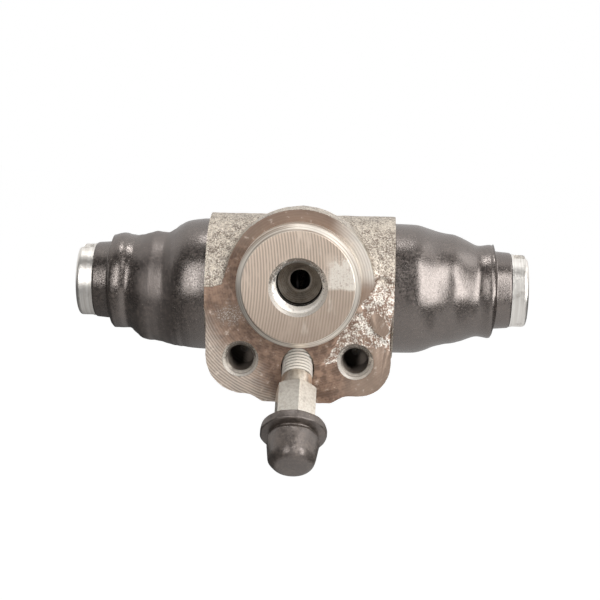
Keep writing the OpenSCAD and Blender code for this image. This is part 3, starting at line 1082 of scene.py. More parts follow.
    def _through(self, kind: str, settings: dict[str, Any]) -> "Blank":
        """Run the mesh through one modifier.

        Args:
            kind: type of the modifier.
            settings: its settings.

        Returns:
            This blank.
        """
        work = self._object("work")
        modifier = work.modifiers.new("work", kind)
        for key, setting in settings.items():
            setattr(modifier, key, setting)
        ready = work.evaluated_get(bpy.context.evaluated_depsgraph_get())
        data = bpy.data.meshes.new_from_object(ready)
        self.mesh.clear()
        self.mesh.from_mesh(data)
        bpy.data.meshes.remove(data)
        rough = work.data
        bpy.data.objects.remove(work)
        bpy.data.meshes.remove(rough)
        return self

    def remesh(self, size: float) -> "Blank":
        """Fuse the shells into one skin of even faces.

        Args:
            size: width of a face.

        Returns:
            This blank.
        """
        return self._through("REMESH", {"mode": "VOXEL", "voxel_size": size})

    def carve(self, tool: "Blank", sense: Sense) -> "Blank":
        """Join, cut or intersect with another blank.

        Args:
            tool: the other blank.
            sense: what to do with it.

        Returns:
            This blank.
        """
        other = tool._object("tool")
        self._through("BOOLEAN", {"operation": sense.value, "solver": "MANIFOLD", "object": other})
        data = other.data
        bpy.data.objects.remove(other)
        bpy.data.meshes.remove(data)
        return self

    def piece(self, name: str, crease: float = 35.0) -> bpy.types.Object:
        """Make the finished piece, in metres, shaded smooth up to a crease.

        Args:
            name: name of the piece.
            crease: angle in degrees from which an edge stays sharp.

        Returns:
            The piece.
        """
        bmesh.ops.scale(self.mesh, vec=(MM, MM, MM), verts=self.mesh.verts)
        limit = math.radians(crease)
        for face in self.mesh.faces:
            face.smooth = True
        for edge in self.mesh.edges:
            edge.smooth = len(edge.link_faces) == 2 and edge.calc_face_angle(0.0) < limit
        made = self._object(name)
        LOG.info("%s: %d faces", name, len(made.data.polygons))
        return made


@dataclass(frozen=True)
class Layout:
    """Where the pieces lie, in millimetres, read from the frame."""

    axis_y: float
    axis_z: float
    barrel_r: float
    barrel_half: float
    pad_r: float
    pilot_r: float
    pilot_h: float
    port_r: float
    bolt_x: float
    bolt_z: float
    bolt_r: float
    bleed_z: float
    bleed_tilt: float
    nipple_end: float

    @classmethod
    def read(cls) -> "Layout":
        """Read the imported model.

        Returns:
            The layout.
        """
        mounts = {mount["name"]: mount for mount in frame["record"]["mounts"]}
        low, high = (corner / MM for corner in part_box("cylinder_housing"))
        slot = Vector(mounts["right_shoe_slot"]["pos_m"]) / MM
        nipple = Vector(mounts["bleed_nipple"]["pos_m"]) / MM
        bolts = mounts["mounting_bolts"]
        screw = next(joint for joint in frame["joints"] if joint["name"] == "bleed_screw_turn")
        mouth = Vector(screw["pos_m"]) / MM
        out = Vector(screw["axis"])
        return cls(
            axis_y=slot.y,
            axis_z=slot.z,
            barrel_r=high.y - slot.y,
            barrel_half=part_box("right_dust_boot")[0].x / MM,
            pad_r=high.z,
            pilot_r=mounts["pilot"]["dims"]["r_mm"],
            pilot_h=-low.y,
            port_r=mounts["inlet_port"]["dims"]["r_mm"],
            bolt_x=bolts["dims"]["spacing_x_mm"] / 2,
            bolt_z=bolts["pos_m"][2] / MM,
            bolt_r=bolts["dims"]["hole_r_mm"],
            bleed_z=mouth.z,
            bleed_tilt=math.atan2(-out.z, -out.y),
            nipple_end=(nipple - mouth).length,
        )

    def along_bore(self, side: int) -> Matrix:
        """Place a local Z axis on the bore, outwards to one side.

        Args:
            side: 1 for the right and -1 for the left.

        Returns:
            The place.
        """
        turned = Matrix.Rotation(side * TURN / 4, 4, "Y")
        return Matrix.Translation((0, self.axis_y, self.axis_z)) @ turned

    def into_face(self, across: float, up: float) -> Matrix:
        """Place a local Z axis into the mounting face.

        Args:
            across: place along X.
            up: place along Z.

        Returns:
            The place.
        """
        return Matrix.Translation((across, 0, up)) @ Matrix.Rotation(-TURN / 4, 4, "X")

    def along_bleed(self) -> Matrix:
        """Place a local Z axis on the bleed screw, from the mounting face outwards."""
        turned = Matrix.Rotation(TURN / 4 + self.bleed_tilt, 4, "X")
        return Matrix.Translation((0, 0, self.bleed_z)) @ turned


@dataclass(frozen=True)
class UncutSkin:
    """Stretch of the rough face that the cutter missed, with a milled island in it.

    Lengths are in millimetres. It lies to the right of a leaning brink and above a rising lower edge.
    """

    brink_x: float = 4.6
    brink_z: float = -15.0
    brink_lean: float = 0.62
    lowest: float = -15.3
    lift: float = 3.1
    lift_x: Span = (9.0, 13.5)
    top: Span = (0.6, 2.2)
    island_x: float = 15.4
    island_z: float = -7.8
    island_lean: float = 0.4
    island_edge: Span = (1.2, 1.9)
    ragged_rate: float = 0.55
    ragged_depth: float = 1.5

    def share(self, x: float, z: float) -> float:
        """Say how far the cutter missed the rough face at a place.

        Args:
            x: place along X.
            z: place along Z.

        Returns:
            1 where the skin stayed and 0 where the face was cut.
        """
        ragged = ripple(Vector((x, z, 0.0)), self.ragged_rate, self.ragged_depth, (0.0, 0.0, 4.0))
        brink = self.brink_x + (z - self.brink_z) * self.brink_lean
        lowest = self.lowest + self.lift * ease(x, *self.lift_x)
        right = ease(x + ragged - brink, -0.6, 0.8) * ease(z + ragged * 0.6 - lowest, -0.6, 0.6)
        right *= 1 - ease(z + ragged, *self.top)
        up = z - self.island_z
        lean = x - self.island_x + self.island_lean * up
        island = ease(math.hypot(lean * 1.1, up * 0.75) + ragged * 0.25, *self.island_edge)
        return right * island


@dataclass
class Housing:
    """Cast housing with its machined faces, holes and threads.

    Each wave of its skin is the number of waves in a millimetre, their height and their shift.
    """

    layout: Layout
    finish: Finish
    uncut: UncutSkin = UncutSkin()
    waves: Sequence[Wave] = (
        (0.24, 0.1, (0, 0, 0)),
        (0.75, 0.06, (9, 3, 5)),
        (1.7, 0.035, (2, 8, 1)),
    )
    pits: Wave = (0.9, 0.14, (5, 1, 7))
    skin_sink: float = 0.14
    proud: float = 0.6
    pad_depth: float = 7.5
    flange_half: float = 17.75
    flange_drop: float = 21.7
    flange_depth: float = 11.6
    flange_edge: float = 2.0
    left_corner: float = 7.6
    right_corner: float = 6.2
    boss_half: float = 6.6
    boss_splay: float = 3.4
    boss_h: float = 1.45
    boss_depth: float = 8.0
    boss_edge: float = 0.9
    voxel: float = 0.32
    spigot_r: float = 10.9
    spigot_foot: float = 15.0
    spigot_end: float = 22.4
    bore_r: float = 8.73
    pilot_chamfer: float = 1.15
    pilot_foot: float = 3.0
    bolt_depth: float = 9.4
    bolt_mouth: float = 1.0
    bolt_spare: float = 0.4
    drill_point: float = 1.5
    thread_pitch: float = 1.0
    thread_depth: float = 0.5
    thread_play: float = 0.06
    port_depth: float = 7.0
    port_mouth: float = 1.1
    port_spare: float = 0.3
    drill_r: float = 2.0
    drill_stop: float = 4.0
    bleed_r: float = 3.0
    bleed_seat: float = -6.5
    bleed_top: float = 20.0
    relief_r: float = 3.22
    relief_depth: float = 3.2

    def build(self) -> None:
        """Build the casting and its threads."""
        blank = self.rough_shape().remesh(self.voxel).smooth(9).move(self.weathered)
        self.machine(blank)
        casting = blank.piece("casting", 40.0)
        self.finish.dress(casting)
        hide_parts("cylinder_housing")
        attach(casting, "housing")
        spot = self.layout
        tapped = TappedHole("bolt_hole", axis_z=spot.bolt_z)
        for side, name in ((-1, "left_bolt_thread"), (1, "right_bolt_thread")):
            place = spot.into_face(side * spot.bolt_x, spot.bolt_z)
            deep = self.bolt_depth - self.bolt_spare
            self.thread(name, place, spot.bolt_r, self.bolt_mouth, 0.0, deep, tapped)
        start = -spot.pilot_h
        end = start + self.port_depth - self.port_spare
        # The port's thread darkens to near black at its far end: painted shade.
        tapped = TappedHole(
            "port_hole",
            mouth=start,
            near=5.3,
            fade=6.3,
            bright=srgb(250, 243, 234),
            deep=srgb(44, 38, 34),
            axis_z=0.0,
            stain=0.03,
        )
        place = spot.into_face(0.0, 0.0)
        self.thread("port_thread", place, spot.port_r, self.port_mouth, start, end, tapped)

    def rough_shape(self) -> Blank:
        """Lay out the shells of the casting before they are fused.

        Returns:
            Overlapping shells.
        """
        spot = self.layout
        blank = Blank()
        half = spot.barrel_half + 1
        barrel = ((0, -half), (spot.barrel_r, -half), (spot.barrel_r, half), (0, half))
        blank.turn(barrel, spot.along_bore(1))
        front, back, wide = -self.proud, self.pad_depth, spot.pad_r
        pad = rounded(((0, front, 0), (wide, front, 0), (wide, back, 1.0), (0, back, 0)))
        blank.turn(pad, spot.into_face(0, 0))
        for part in (self.flange(), self.boss()):
            blank.carve(part, Sense.JOIN)
        return blank

    def flange(self) -> Blank:
        """Shape the mounting flange, with uneven lower corners.

        Returns:
            The flange.
        """
        top, near = self.layout.axis_z, 0.1
        wide, drop, deep = self.flange_half, self.flange_drop, self.flange_depth
        flange = Blank().block(Vector((-wide, -self.proud, -drop)), Vector((wide, deep, top)))
        for side, size in ((-1, self.left_corner), (1, self.right_corner)):
            flange.bevel(
                lambda a, b: min(a.x * side, b.x * side) > wide - near and max(a.z, b.z) < 1 - drop,
                size,
                8,
            )
        flange.bevel(
            lambda a, b: min(a.y, b.y) > deep - near and min(a.z, b.z) < top - 1,
            self.flange_edge,
            4,
        )
        return flange

    def boss(self) -> Blank:
        """Shape the boss under the bleed screw, which widens into the flange.

        Returns:
            The boss.
        """
        foot = -self.flange_drop - self.boss_h
        half, deep = self.boss_half, self.boss_depth

        def splayed(place: Vector, _: Vector) -> Vector:
            """Widen the end that meets the flange."""
            wider = 1 + self.boss_splay / half * (place.z > foot + 1)
            return Vector((place.x * wider, place.y, place.z))

        boss = Blank().block(Vector((-half, -self.proud, foot)), Vector((half, deep, foot + 2)))
        boss.move(splayed)
        return boss.bevel(lambda a, b: min(a.y, b.y) > deep - 0.1, self.boss_edge, 3)

    def weathered(self, place: Vector, normal: Vector) -> Vector:
        """Give the rough shape the waves of a sand mould.

        Args:
            place: a vertex of the fused shape.
            normal: its normal.

        Returns:
            Its new place.
        """
        moved = place + normal * sum(ripple(place, *wave) for wave in self.waves)
        if place.y < 1.5 and normal.y < -0.3:
            sunk = self.proud + self.skin_sink + ripple(place, *self.pits)
            moved.y += self.uncut.share(place.x, place.z) * sunk
        return moved

    def machine(self, blank: Blank) -> None:
        """Cut the face and the holes, and add the turned parts.

        Args:
            blank: the fused casting.
        """
        spot = self.layout
        reach = 40.0
        low, high = Vector((-reach, -reach, -reach)), Vector((reach, reach, reach))
        blank.carve(Blank().block(low, Vector((reach, 0, reach))), Sense.CUT)
        blank.carve(Blank().block(low, Vector((-spot.barrel_half, reach, reach))), Sense.CUT)
        blank.carve(Blank().block(Vector((spot.barrel_half, -reach, -reach)), high), Sense.CUT)
        tall, wide, edge = spot.pilot_h, spot.pilot_r, self.pilot_chamfer
        pilot = rounded(
            (
                (0, self.pilot_foot, 0),
                (wide, self.pilot_foot, 0),
                (wide, edge - tall, 0.12),
                (wide - edge, -tall, 0.12),
                (0, -tall, 0),
            )
        )
        blank.carve(Blank().turn(pilot, spot.into_face(0, 0), 144), Sense.JOIN)
        ring, foot, end = self.spigot_r, self.spigot_foot, self.spigot_end
        spigot = rounded(((0, foot, 0), (ring, foot, 0), (ring, end, 0.5), (0, end, 0)))
        for side in (-1, 1):
            blank.carve(Blank().turn(spigot, spot.along_bore(side)), Sense.JOIN)
        long = self.spigot_end + 1
        bore = ((0, -long), (self.bore_r, -long), (self.bore_r, long), (0, long))
        blank.carve(Blank().turn(bore, spot.along_bore(1)), Sense.CUT)
        self.drill(blank)

    def drill(self, blank: Blank) -> None:
        """Cut the inlet port, the bolt holes and the bleed hole.

        Args:
            blank: the casting with its bore.
        """
        spot = self.layout
        tall = spot.pilot_h
        port = spot.port_r + self.thread_depth + self.thread_play
        mouth = spot.port_r + self.port_mouth
        floor = self.port_depth - tall
        stop = spot.axis_y - self.drill_stop
        inlet = (
            (0, -tall - 1),
            (mouth + 1, -tall - 1),
            (port, mouth - port - tall),
            (port, floor),
            (spot.port_r, floor),
            (self.drill_r, floor + spot.port_r - self.drill_r),
            (self.drill_r, stop),
            (0, stop),
        )
        blank.carve(Blank().turn(inlet, spot.into_face(0, 0), 72), Sense.CUT)
        wall = spot.bolt_r + self.thread_depth + self.thread_play
        lead = spot.bolt_r + self.bolt_mouth
        deep = self.bolt_depth
        hole = ((0, -1), (lead + 1, -1), (wall, lead - wall), (wall, deep), (0, deep + self.drill_point))
        for side in (-1, 1):
            place = spot.into_face(side * spot.bolt_x, spot.bolt_z)
            blank.carve(Blank().turn(hole, place, 64), Sense.CUT)
        seat, foot, top = self.bleed_seat, -self.relief_depth, self.bleed_top
        bleed = (
            (0, seat),
            (self.bleed_r, seat),
            (self.bleed_r, foot),
            (self.relief_r, foot),
            (self.relief_r, top),
            (0, top),
        )
        blank.carve(Blank().turn(bleed, spot.along_bleed(), 64), Sense.CUT)

    def thread(
        self,
        name: str,
        place: Matrix,
        minor: float,
        mouth: float,
        start: float,
        end: float,
        finish: Finish,
    ) -> None:
        """Wind the thread of a tapped hole, run out on its chamfer.

        Args:
            name: name of the piece.
            place: axis of the hole, with its local Z into the metal.
            minor: radius of the crests.
            mouth: width of the chamfer.
            start: height of the hole's edge.
            end: height at which the thread stops.
            finish: what it is dressed in.
        """
        major, pitch = minor + self.thread_depth, self.thread_pitch
        crest = ((minor, 0.0), (minor, 0.22), (major, 0.54), (major, 0.68), (minor, 1.0))
        profile = [(across, start + (along - 1) * pitch) for across, along in crest]
        blank = Blank().wind(profile, pitch, (end - start) / pitch, Matrix()).face(False)

        def opened(spot: Vector, _: Vector) -> Vector:
            """Hold a vertex in the metal, outside the chamfer's cone."""
            height = max(spot.z, start + 0.05)
            least = minor + mouth - (height - start) + 0.03
            scale = max(1.0, least / math.hypot(spot.x, spot.y))
            return Vector((spot.x * scale, spot.y * scale, height))

        piece = blank.move(opened).put(place).piece(name, 20.0)
        finish.dress(piece)
        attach(piece, "housing")


# Each ring of a boot: its place along the bore, its radius and how far it hangs.
LEFT_RINGS: Sequence[Corner] = (
    (18.05, 12.98, 0.3), (19.4, 12.94, 0.3), (20.6, 12.84, 0.34), (21.8, 12.7, 0.39),
    (22.9, 12.48, 0.45), (24.2, 12.08, 0.75), (25.4, 11.54, 1.11), (26.6, 11.08, 1.3),
    (27.8, 10.93, 1.1), (29, 10.9, 0.92), (30.2, 10.7, 1.1), (31.4, 10.32, 1.12),
    (32.6, 9.74, 0.76), (33.8, 9.3, 0.18), (34.9, 9.44, 0.04), (35.6, 9.46, 0.03),
    (36.3, 9.39, 0.08), (37, 9.27, 0.2), (37.4, 9, 0.3),
)
RIGHT_RINGS: Sequence[Corner] = (
    (18.05, 12.74, 0.2), (20.5, 12.7, 0.2), (22.6, 12.58, 0.2), (24.4, 12.05, 0.2),
    (26.2, 11.38, 0.1), (28, 10.95, 0.1), (29.6, 10.74, 0.1), (30.8, 10.34, 0.12),
    (32, 9.86, 0.2), (33.2, 9.36, 0.25), (34.2, 9, 0.3), (35, 8.97, 0.3),
    (36, 9.12, 0.3), (36.8, 9.22, 0.32), (37.4, 9, 0.33),
)


@dataclass
class DustBoot:
    """Rubber boot between the spigot and the piston's nose."""

    layout: Layout
    finish: Finish
    side: int
    name: str
    node: str
    piston: str
    rings: Sequence[Corner]
    spigot_r: float = 10.95
    spigot_end: float = 22.4
    wall: float = 1.3
    throat_gap: float = 0.6
    bead_end: float = 37.6
    lip_r: float = 7.4
    lip_end: float = 40.8
    lip_bore: float = 6.65
    soft_from: Span = (22.6, 25.5)
    soft_to: Span = (32.0, 34.2)

    def build(self) -> None:
        """Turn the boot and let it sag."""
        outer = flowing([(along, across) for along, across, _ in self.rings], 0.4)
        inner = [(across - self.wall, along) for across, along in outer]
        throat = [point for point in inner if point[1] > self.spigot_end + self.throat_gap]
        end = self.bead_end
        neck = ((throat[-1][0] + 0.6, end, 0.5), (self.lip_r + 0.25, end + 0.15, 0.3))
        tip, bore = self.lip_end, self.lip_bore
        lip = ((self.lip_r, tip, 0.45), (bore, tip, 0.2), (bore, end - 1.2, 0.3))
        head = rounded((outer[-1] + (0.0,), *neck, *lip, throat[-1] + (0.0,)))
        start = outer[0][1]
        heel = [(self.spigot_r, self.spigot_end), (self.spigot_r, start)]
        profile = outer + head[1:-1] + throat[::-1] + heel
        blank = Blank().turn(profile, Matrix(), 128, True).move(self.settled)
        piece = blank.put(self.layout.along_bore(self.side)).piece(self.name, 50.0)
        self.finish.dress(piece)
        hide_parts(self.node)
        spot = self.layout
        self.side * self.spigot_end * MM
        spot.axis_z * MM
        self.side * (self.bead_end - 1) * MM
        spot.axis_z * MM
        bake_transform(piece)

    def settled(self, place: Vector, _: Vector) -> Vector:
        """Let the rubber sag and dent a little.

        Args:
            place: a vertex, with its local Z along the bore.

        Returns:
            Its new place.
        """
        radius = math.hypot(place.x, place.y)
        soft = ease(place.z, *self.soft_from) * (1 - ease(place.z, *self.soft_to))
        dents = ripple(place, 0.16, 0.16, (3.0 * self.side, 1, 2))
        dents += ripple(place, 0.4, 0.06, (1, 6 * self.side, 4))
        scale = (radius + dents * soft) / radius
        return Vector((place.x * scale + self.side * self.sag(place.z), place.y * scale, place.z))

    def sag(self, along: float) -> float:
        """Read how far a ring of the boot hangs below the bore's axis.

        Args:
            along: place of the ring along the bore.

        Returns:
            The drop.
        """
        for (start, _, near), (end, _, far) in zip(self.rings, self.rings[1:]):
            if along < end:
                return near + (far - near) * ease(along, start, end)
        return 0.0


@dataclass
class BleedScrew:
    """Bleed screw with its thread, hexagon and hose nipple, and the rubber cap on it."""

    layout: Layout
    finish: Finish
    cap_finish: Finish
    seat: float = -6.4
    crest_r: float = 2.95
    root_r: float = 2.56
    pitch: float = 0.7
    hex_across: float = 7.1
    hex_start: float = 15.4
    hex_len: float = 7.6
    hex_turn: float = -11.0
    collar_r: float = 2.92
    collar_start: float = 2.3
    point_r: float = 1.0
    shoulder_r: float = 2.95
    nipple_r: float = 2.4
    tip_r: float = 2.0
    bulge_r: float = 2.75
    drill_r: float = 0.9
    cap_len: float = 8.65
    cap_end: float = 1.95
    cap_rim_r: float = 6.15
    cap_r: float = 4.85
    cap_tip_r: float = 4.4
    cap_round: float = 1.25
    cap_bore: float = 2.85

    def build(self) -> None:
        """Build the screw and its cap."""
        end = self.layout.nipple_end
        base = end - self.hex_start
        top = base + self.hex_len
        self.screw(base, top, end)
        self.cap(end + self.cap_end)

    def screw(self, base: float, top: float, end: float) -> None:
        """Build the screw.

        Args:
            base: height of the hexagon's inner face.
            top: height of its outer face.
            end: height of the nipple's end.
        """
        place = self.layout.along_bleed()
        blank = Blank().turn(self.core(base, top, end), place, 72)
        blank.carve(self.hexagon(base, top, place), Sense.JOIN)
        thread = self.thread()
        axis = place.to_3x3() @ Vector((0, 0, 1))
        plated = ScrewThread("screw_thread", (place.translation * MM)[:], axis[:], self.root_r)
        for name, part, finish in (
            ("bleed_screw_body", blank, self.finish),
            ("bleed_screw_thread", thread.put(place), plated),
        ):
            piece = part.piece(name, 22.0)
            finish.dress(piece)
            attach(piece, "bleed_screw")
            if part is blank:
                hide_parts("bleed_screw")

    def core(self, base: float, top: float, end: float) -> list[Point]:
        """Draw the screw's point, shank, collar and drilled nipple.

        Args:
            base: height of the hexagon's inner face.
            top: height of its outer face.
            end: height of the nipple's end.

        Returns:
            Points of the profile.
        """
        core_r = self.root_r - 0.03
        collar = self.collar_start
        return rounded(
            (
                (0, self.seat, 0),
                (self.point_r, self.seat, 0.2),
                (core_r, self.seat + 1.6, 0.2),
                (core_r, collar - 0.2, 0.05),
                (self.collar_r, collar, 0.1),
                (self.collar_r, base - 0.5, 0.2),
                (self.collar_r + 0.25, base - 0.05, 0.1),
                (self.collar_r + 0.25, base + 0.5, 0),
                (self.collar_r, top - 0.2, 0),
                (self.shoulder_r, top + 0.1, 0.1),
                (self.nipple_r, top + 0.5, 0.2),
                (self.nipple_r, end - 3.6, 0.3),
                (self.bulge_r, end - 2.4, 0.4),
                (self.bulge_r, end - 1.9, 0.3),
                (self.tip_r, end, 0.2),
                (self.drill_r, end, 0.1),
                (self.drill_r, base, 0),
                (0, base, 0),
            )
        )

    def hexagon(self, base: float, top: float, place: Matrix) -> Blank:
        """Shape the hexagon, with its corners turned off at both ends.

        Args:
            base: height of its inner face.
            top: height of its outer face.
            place: axis of the screw.

        Returns:
            The hexagon.
        """
        corner = self.hex_across / 2 / math.cos(TURN / 12)
        turned = place @ Matrix.Rotation(math.radians(90 + self.hex_turn), 4, "Z")
        nut = Blank().turn(((0, base), (corner, base), (corner, top), (0, top)), turned, 6)
        trim = self.hex_across / 2 - 0.05
        wide = corner + 0.2
        slope = (wide - trim) * 0.5
        lower = ((0, base), (trim, base), (wide, base + slope))
        dome = lower + ((wide, top - slope), (trim, top), (0, top))
        return nut.carve(Blank().turn(dome, place, 96), Sense.SHARE)

    def thread(self) -> Blank:
        """Wind the screw's thread, run out before the collar.

        Returns:
            The thread about the local Z axis.
        """
        start, collar, pitch = self.seat + 1.8, self.collar_start, self.pitch
        turns = round((collar - 0.2 - start) / pitch * 36) / 36
        crest, root = self.crest_r, self.root_r
        ridge = ((root, 0.0), (root, 0.12), (crest, 0.46), (crest, 0.62), (root, 0.96), (root, 1.0))
        profile = [(across, start + (along - 1) * pitch) for across, along in ridge]

        def fading(spot: Vector, _: Vector) -> Vector:
            """Let the ridge sink into the core."""
            radius = math.hypot(spot.x, spot.y)
            keep = 1 - ease(spot.z, collar - 0.3, collar - 0.05)
            scale = (root + (radius - root) * keep) / radius
            return Vector((spot.x * scale, spot.y * scale, spot.z))

        return Blank().wind(profile, pitch, turns, Matrix()).face(True).move(fading)

    def cap(self, end: float) -> None:
        """Build the rubber cap.

        Args:
            end: height of its closed end.
        """
        start = end - self.cap_len
        rim, body, tip = self.cap_rim_r, self.cap_r, self.cap_tip_r
        profile = rounded(
            (
                (self.cap_bore, start, 0),
                (rim - 0.15, start, 0.2),
                (rim, start + 0.4, 0.3),
                (rim, start + 1.75, 0.35),
                (body - 0.5, start + 1.95, 0.25),
                (body - 0.5, start + 2.35, 0.2),
                (body + 0.05, start + 2.75, 0.25),
                (body, start + 3.6, 0.5),
                (tip, end - self.cap_round, 1.0),
                (tip - self.cap_round * 0.8, end - 0.1, 0.7),
                (0, end, 0),
            )
        )
        inside = [(0.0, end - 1.2), (self.cap_bore, end - 1.2)]
        blank = Blank().turn(profile + inside, Matrix(), 96, True)

        def dented(spot: Vector, _: Vector) -> Vector:
            """Press a few soft dents into the rubber."""
            dent = ripple(spot, 0.45, 0.2, (4, 2, 6))
            out = Vector((spot.x, spot.y, 0))
            reach = ease(out.length, 3.2, 4.2)
            return spot + out.normalized() * dent * reach if out.length > 0.1 else spot

        piece = blank.move(dented).put(self.layout.along_bleed()).piece("bleed_cap_rubber", 50.0)
        self.cap_finish.dress(piece)
        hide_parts("bleed_screw_cap")
        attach(piece, "bleed_cap")


@dataclass
class ReturnSpring:
    """Coil spring between the pistons, in two halves."""

    layout: Layout
    finish: Finish
    wire_r: float = 0.5
    coil_r: float = 4.1
    half: float = 12.9
    turns: float = 4.5

    def build(self) -> None:
        """Wind both halves from the middle outwards."""
        rim = [TURN * index / 10 for index in range(11)]
        wire = [(self.coil_r + self.wire_r * math.cos(a), self.wire_r * math.sin(a)) for a in rim]
        pitch = (self.half - self.wire_r) / self.turns
        for side, name, piston in (
            (-1, "left_spring_half", "left_piston"),
            (1, "right_spring_half", "right_piston"),
        ):
            start = self.layout.along_bore(side) @ Matrix.Rotation(TURN / 4 * (1 - side), 4, "Z")
            blank = Blank().wind(wire, pitch, self.turns, start, 28)
            bmesh.ops.recalc_face_normals(blank.mesh, faces=blank.mesh.faces)
            piece = blank.piece(name, 60.0)
            self.finish.dress(piece)
            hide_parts("return_spring")
            reach = Vector((side * self.half * MM, 0, 0))
            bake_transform(piece)


@dataclass(frozen=True)
class Lamp:
    """A soft light with an even rectangular face."""

    name: str
    place: tuple[float, float, float]
    aim: tuple[float, float, float]
    size: Span
    radiance: float
    colour: tuple[float, float, float] = (1.0, 1.0, 1.0)

    def build(self) -> None:
        """Hang the light."""
        data = bpy.data.lights.new(self.name, "AREA")
        data.shape = "RECTANGLE"
        data.size, data.size_y = self.size
        data.energy = self.radiance * math.pi * self.size[0] * self.size[1]
        data.color = self.colour
        lamp = bpy.data.objects.new(self.name, data)
        bpy.context.scene.collection.objects.link(lamp)
        lamp.location = self.place
        lamp.rotation_mode = "QUATERNION"
        lamp.rotation_quaternion = (Vector(self.aim) - Vector(self.place)).to_track_quat("-Z", "Y")


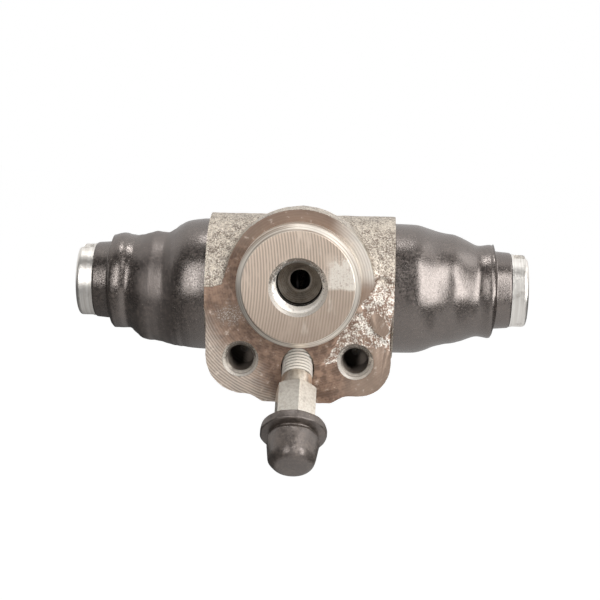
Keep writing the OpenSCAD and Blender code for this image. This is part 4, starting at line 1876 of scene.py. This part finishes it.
@dataclass
class Studio:
    """Camera, white surroundings, floor and lights."""

    azimuth: float = 2.458
    elevation: float = 9.958
    roll: float = 1.201
    distance: float = 0.27886
    target: tuple[float, float, float] = (0.00021, 0.0, -0.00317)
    focal_px: float = 1473.1
    image_px: float = 600.0
    sensor: float = 36.0
    ambient: float = 0.15
    room_front: float = 0.1
    front_fade: Span = (-0.35, 0.25)
    room_left: float = 0.85
    left_fade: Span = (-0.5, 0.5)
    floor_z: float = -0.34
    floor_half: float = 4.0
    floor_grey: Colour = srgb(120, 120, 120)
    floor_glow: float = 0.975
    paper_left: Span = (-180.0, 0.0)
    paper_right: Span = (250.0, 400.0)
    paper_glow: float = 0.55
    gap_glow: float = 0.05
    lamps: Sequence[Lamp] = (
        Lamp("key", (0.46, -0.5, 0.34), (0.0, 0.0, 0.26), (0.36, 1.05), 5.2),
        Lamp("strip", (-0.27, -0.76, 0.34), (0.0, 0.0, 0.34), (0.13, 0.8), 7.5),
        Lamp("top", (-0.05, 0.05, 0.62), (0.0, 0.0, 0.0), (0.1, 0.1), 14.0),
        Lamp("side", (0.62, 0.12, 0.6), (0.0, 0.0, 0.0), (0.4, 0.4), 1.2),
    )

    def build(self) -> None:
        """Set up the camera, the surroundings, the floor and the lights."""
        bpy.context.scene.view_settings.view_transform = "Standard"
        self.camera()
        self.surroundings()
        self.floor()
        for lamp in self.lamps:
            lamp.build()

    def camera(self) -> None:
        """Put the camera where the photograph was taken from."""
        data = bpy.data.cameras.new("camera")
        data.sensor_width = self.sensor
        data.lens = self.sensor * self.focal_px / self.image_px
        data.clip_start = 0.01
        data.clip_end = 20.0
        camera = bpy.data.objects.new("camera", data)
        bpy.context.scene.collection.objects.link(camera)
        turn, rise = math.radians(self.azimuth), math.radians(self.elevation)
        level = math.cos(rise)
        back = Vector((math.sin(turn) * level, -math.cos(turn) * level, math.sin(rise)))
        camera.location = Vector(self.target) + back * self.distance
        camera.rotation_mode = "QUATERNION"
        roll = Quaternion((0, 0, 1), math.radians(self.roll))
        camera.rotation_quaternion = (-back).to_track_quat("-Z", "Y") @ roll
        bpy.context.scene.camera = camera

    def surroundings(self) -> None:
        """Light the scene from all round, and show white behind the object."""
        world = bpy.data.worlds.new("surroundings")
        graph = Graph(world)
        across, along, _ = graph.split(graph.node("ShaderNodeTexCoord", output="Generated"))
        room = graph.step(along, *self.front_fade, self.room_front)
        room = room * graph.step(across, *self.left_fade, self.room_left)
        rays = graph.add("ShaderNodeLightPath").outputs
        shown = graph.node("ShaderNodeBackground", inputs={"Strength": self.ambient})
        strengths = {"Is Glossy Ray": room, "Is Transmission Ray": 1.0, "Is Camera Ray": 1.0}
        for ray, strength in strengths.items():
            white = graph.node("ShaderNodeBackground", inputs={"Color": WHITE, "Strength": strength})
            seen = Value(graph, rays[ray])
            shown = graph.node("ShaderNodeMixShader", inputs={0: seen, 1: shown, 2: white})
        graph.add("ShaderNodeOutputWorld", inputs={"Surface": shown})
        bpy.context.scene.world = world

    def floor(self) -> None:
        """Lay a white floor that keeps the object's shadow."""
        blank = Blank()
        bmesh.ops.create_grid(blank.mesh, x_segments=8, y_segments=8, size=self.floor_half / MM)
        floor = blank.put(Matrix.Translation((0, 0, self.floor_z / MM))).piece("floor")
        graph = MaterialGraph("floor_white")
        graph.set("Base Color", self.floor_grey)
        graph.set("Roughness", 0.9)
        graph.set("Specular IOR Level", 0.0)
        rays = graph.add("ShaderNodeLightPath").outputs
        straight, glossy, through = (
            Value(graph, rays[ray]) for ray in ("Is Camera Ray", "Is Glossy Ray", "Is Transmission Ray")
        )
        across = graph.axes[0]
        paper = graph.step(across, *self.paper_left) * (1 - graph.step(across, *self.paper_right))
        shown = straight.over(through) * self.floor_glow
        shown = shown + glossy * (paper * self.paper_glow + self.gap_glow)
        glow = graph.node("ShaderNodeEmission", inputs={"Color": WHITE, "Strength": shown})
        both = graph.node("ShaderNodeAddShader", inputs={0: graph.surface, 1: glow})
        graph.feed(graph.output.inputs["Surface"], both)
        floor.data.materials.append(graph.material)


def dress_kept_nodes() -> None:
    """Put materials on the CAD nodes that stay."""
    metal = TurnedMetal("piston_metal")
    seal = Rubber(
        "seal_rubber",
        base=srgb(40, 37, 36),
        dust=srgb(74, 69, 66),
        speck=srgb(110, 104, 99),
        dust_share=0.25,
        gloss=0.3,
    )
    for side in ("left", "right"):
        metal.dress(frame["nodes"][f"{side}_piston"])
        seal.dress(frame["nodes"][f"{side}_piston_seal"])
        LOG.info("%s_piston and its seal dressed", side)


def main() -> None:
    """Build every piece in order."""
    logging.basicConfig(level=logging.INFO, format="%(name)s: %(message)s")
    Studio().build()
    layout = Layout.read()
    casting = Casting(pilot_h=layout.pilot_h, bolt_x=layout.bolt_x, bolt_z=layout.bolt_z)
    Housing(layout, casting).build()
    boot = Rubber("boot_rubber", dull_low=-31.5, dull_high=-25.0)
    DustBoot(layout, boot, -1, "left_boot", "left_dust_boot", "left_piston", LEFT_RINGS).build()
    DustBoot(layout, boot, 1, "right_boot", "right_dust_boot", "right_piston", RIGHT_RINGS).build()
    zinc = TurnedMetal(
        "zinc_steel",
        bright=srgb(250, 244, 233),
        shade=srgb(214, 204, 189),
        stain=srgb(168, 155, 139),
        gloss=0.26,
        ring_size=0.5,
        along=(1.0, 1.0, 1.0),
    )
    cap = Rubber(
        "cap_rubber",
        base=srgb(38, 32, 28),
        dust=srgb(116, 105, 96),
        speck=srgb(176, 166, 156),
        dust_share=0.46,
        gloss=0.36,
        grain=0.28,
        index=1.8,
    )
    BleedScrew(layout, zinc, cap).build()
    spring = TurnedMetal(
        "spring_steel",
        bright=srgb(150, 148, 146),
        shade=srgb(96, 94, 92),
        stain=srgb(70, 62, 56),
        gloss=0.3,
        ring_size=0.4,
        along=(1.0, 1.0, 1.0),
    )
    ReturnSpring(layout, spring).build()
    dress_kept_nodes()


if __name__ == "__main__":
    main()
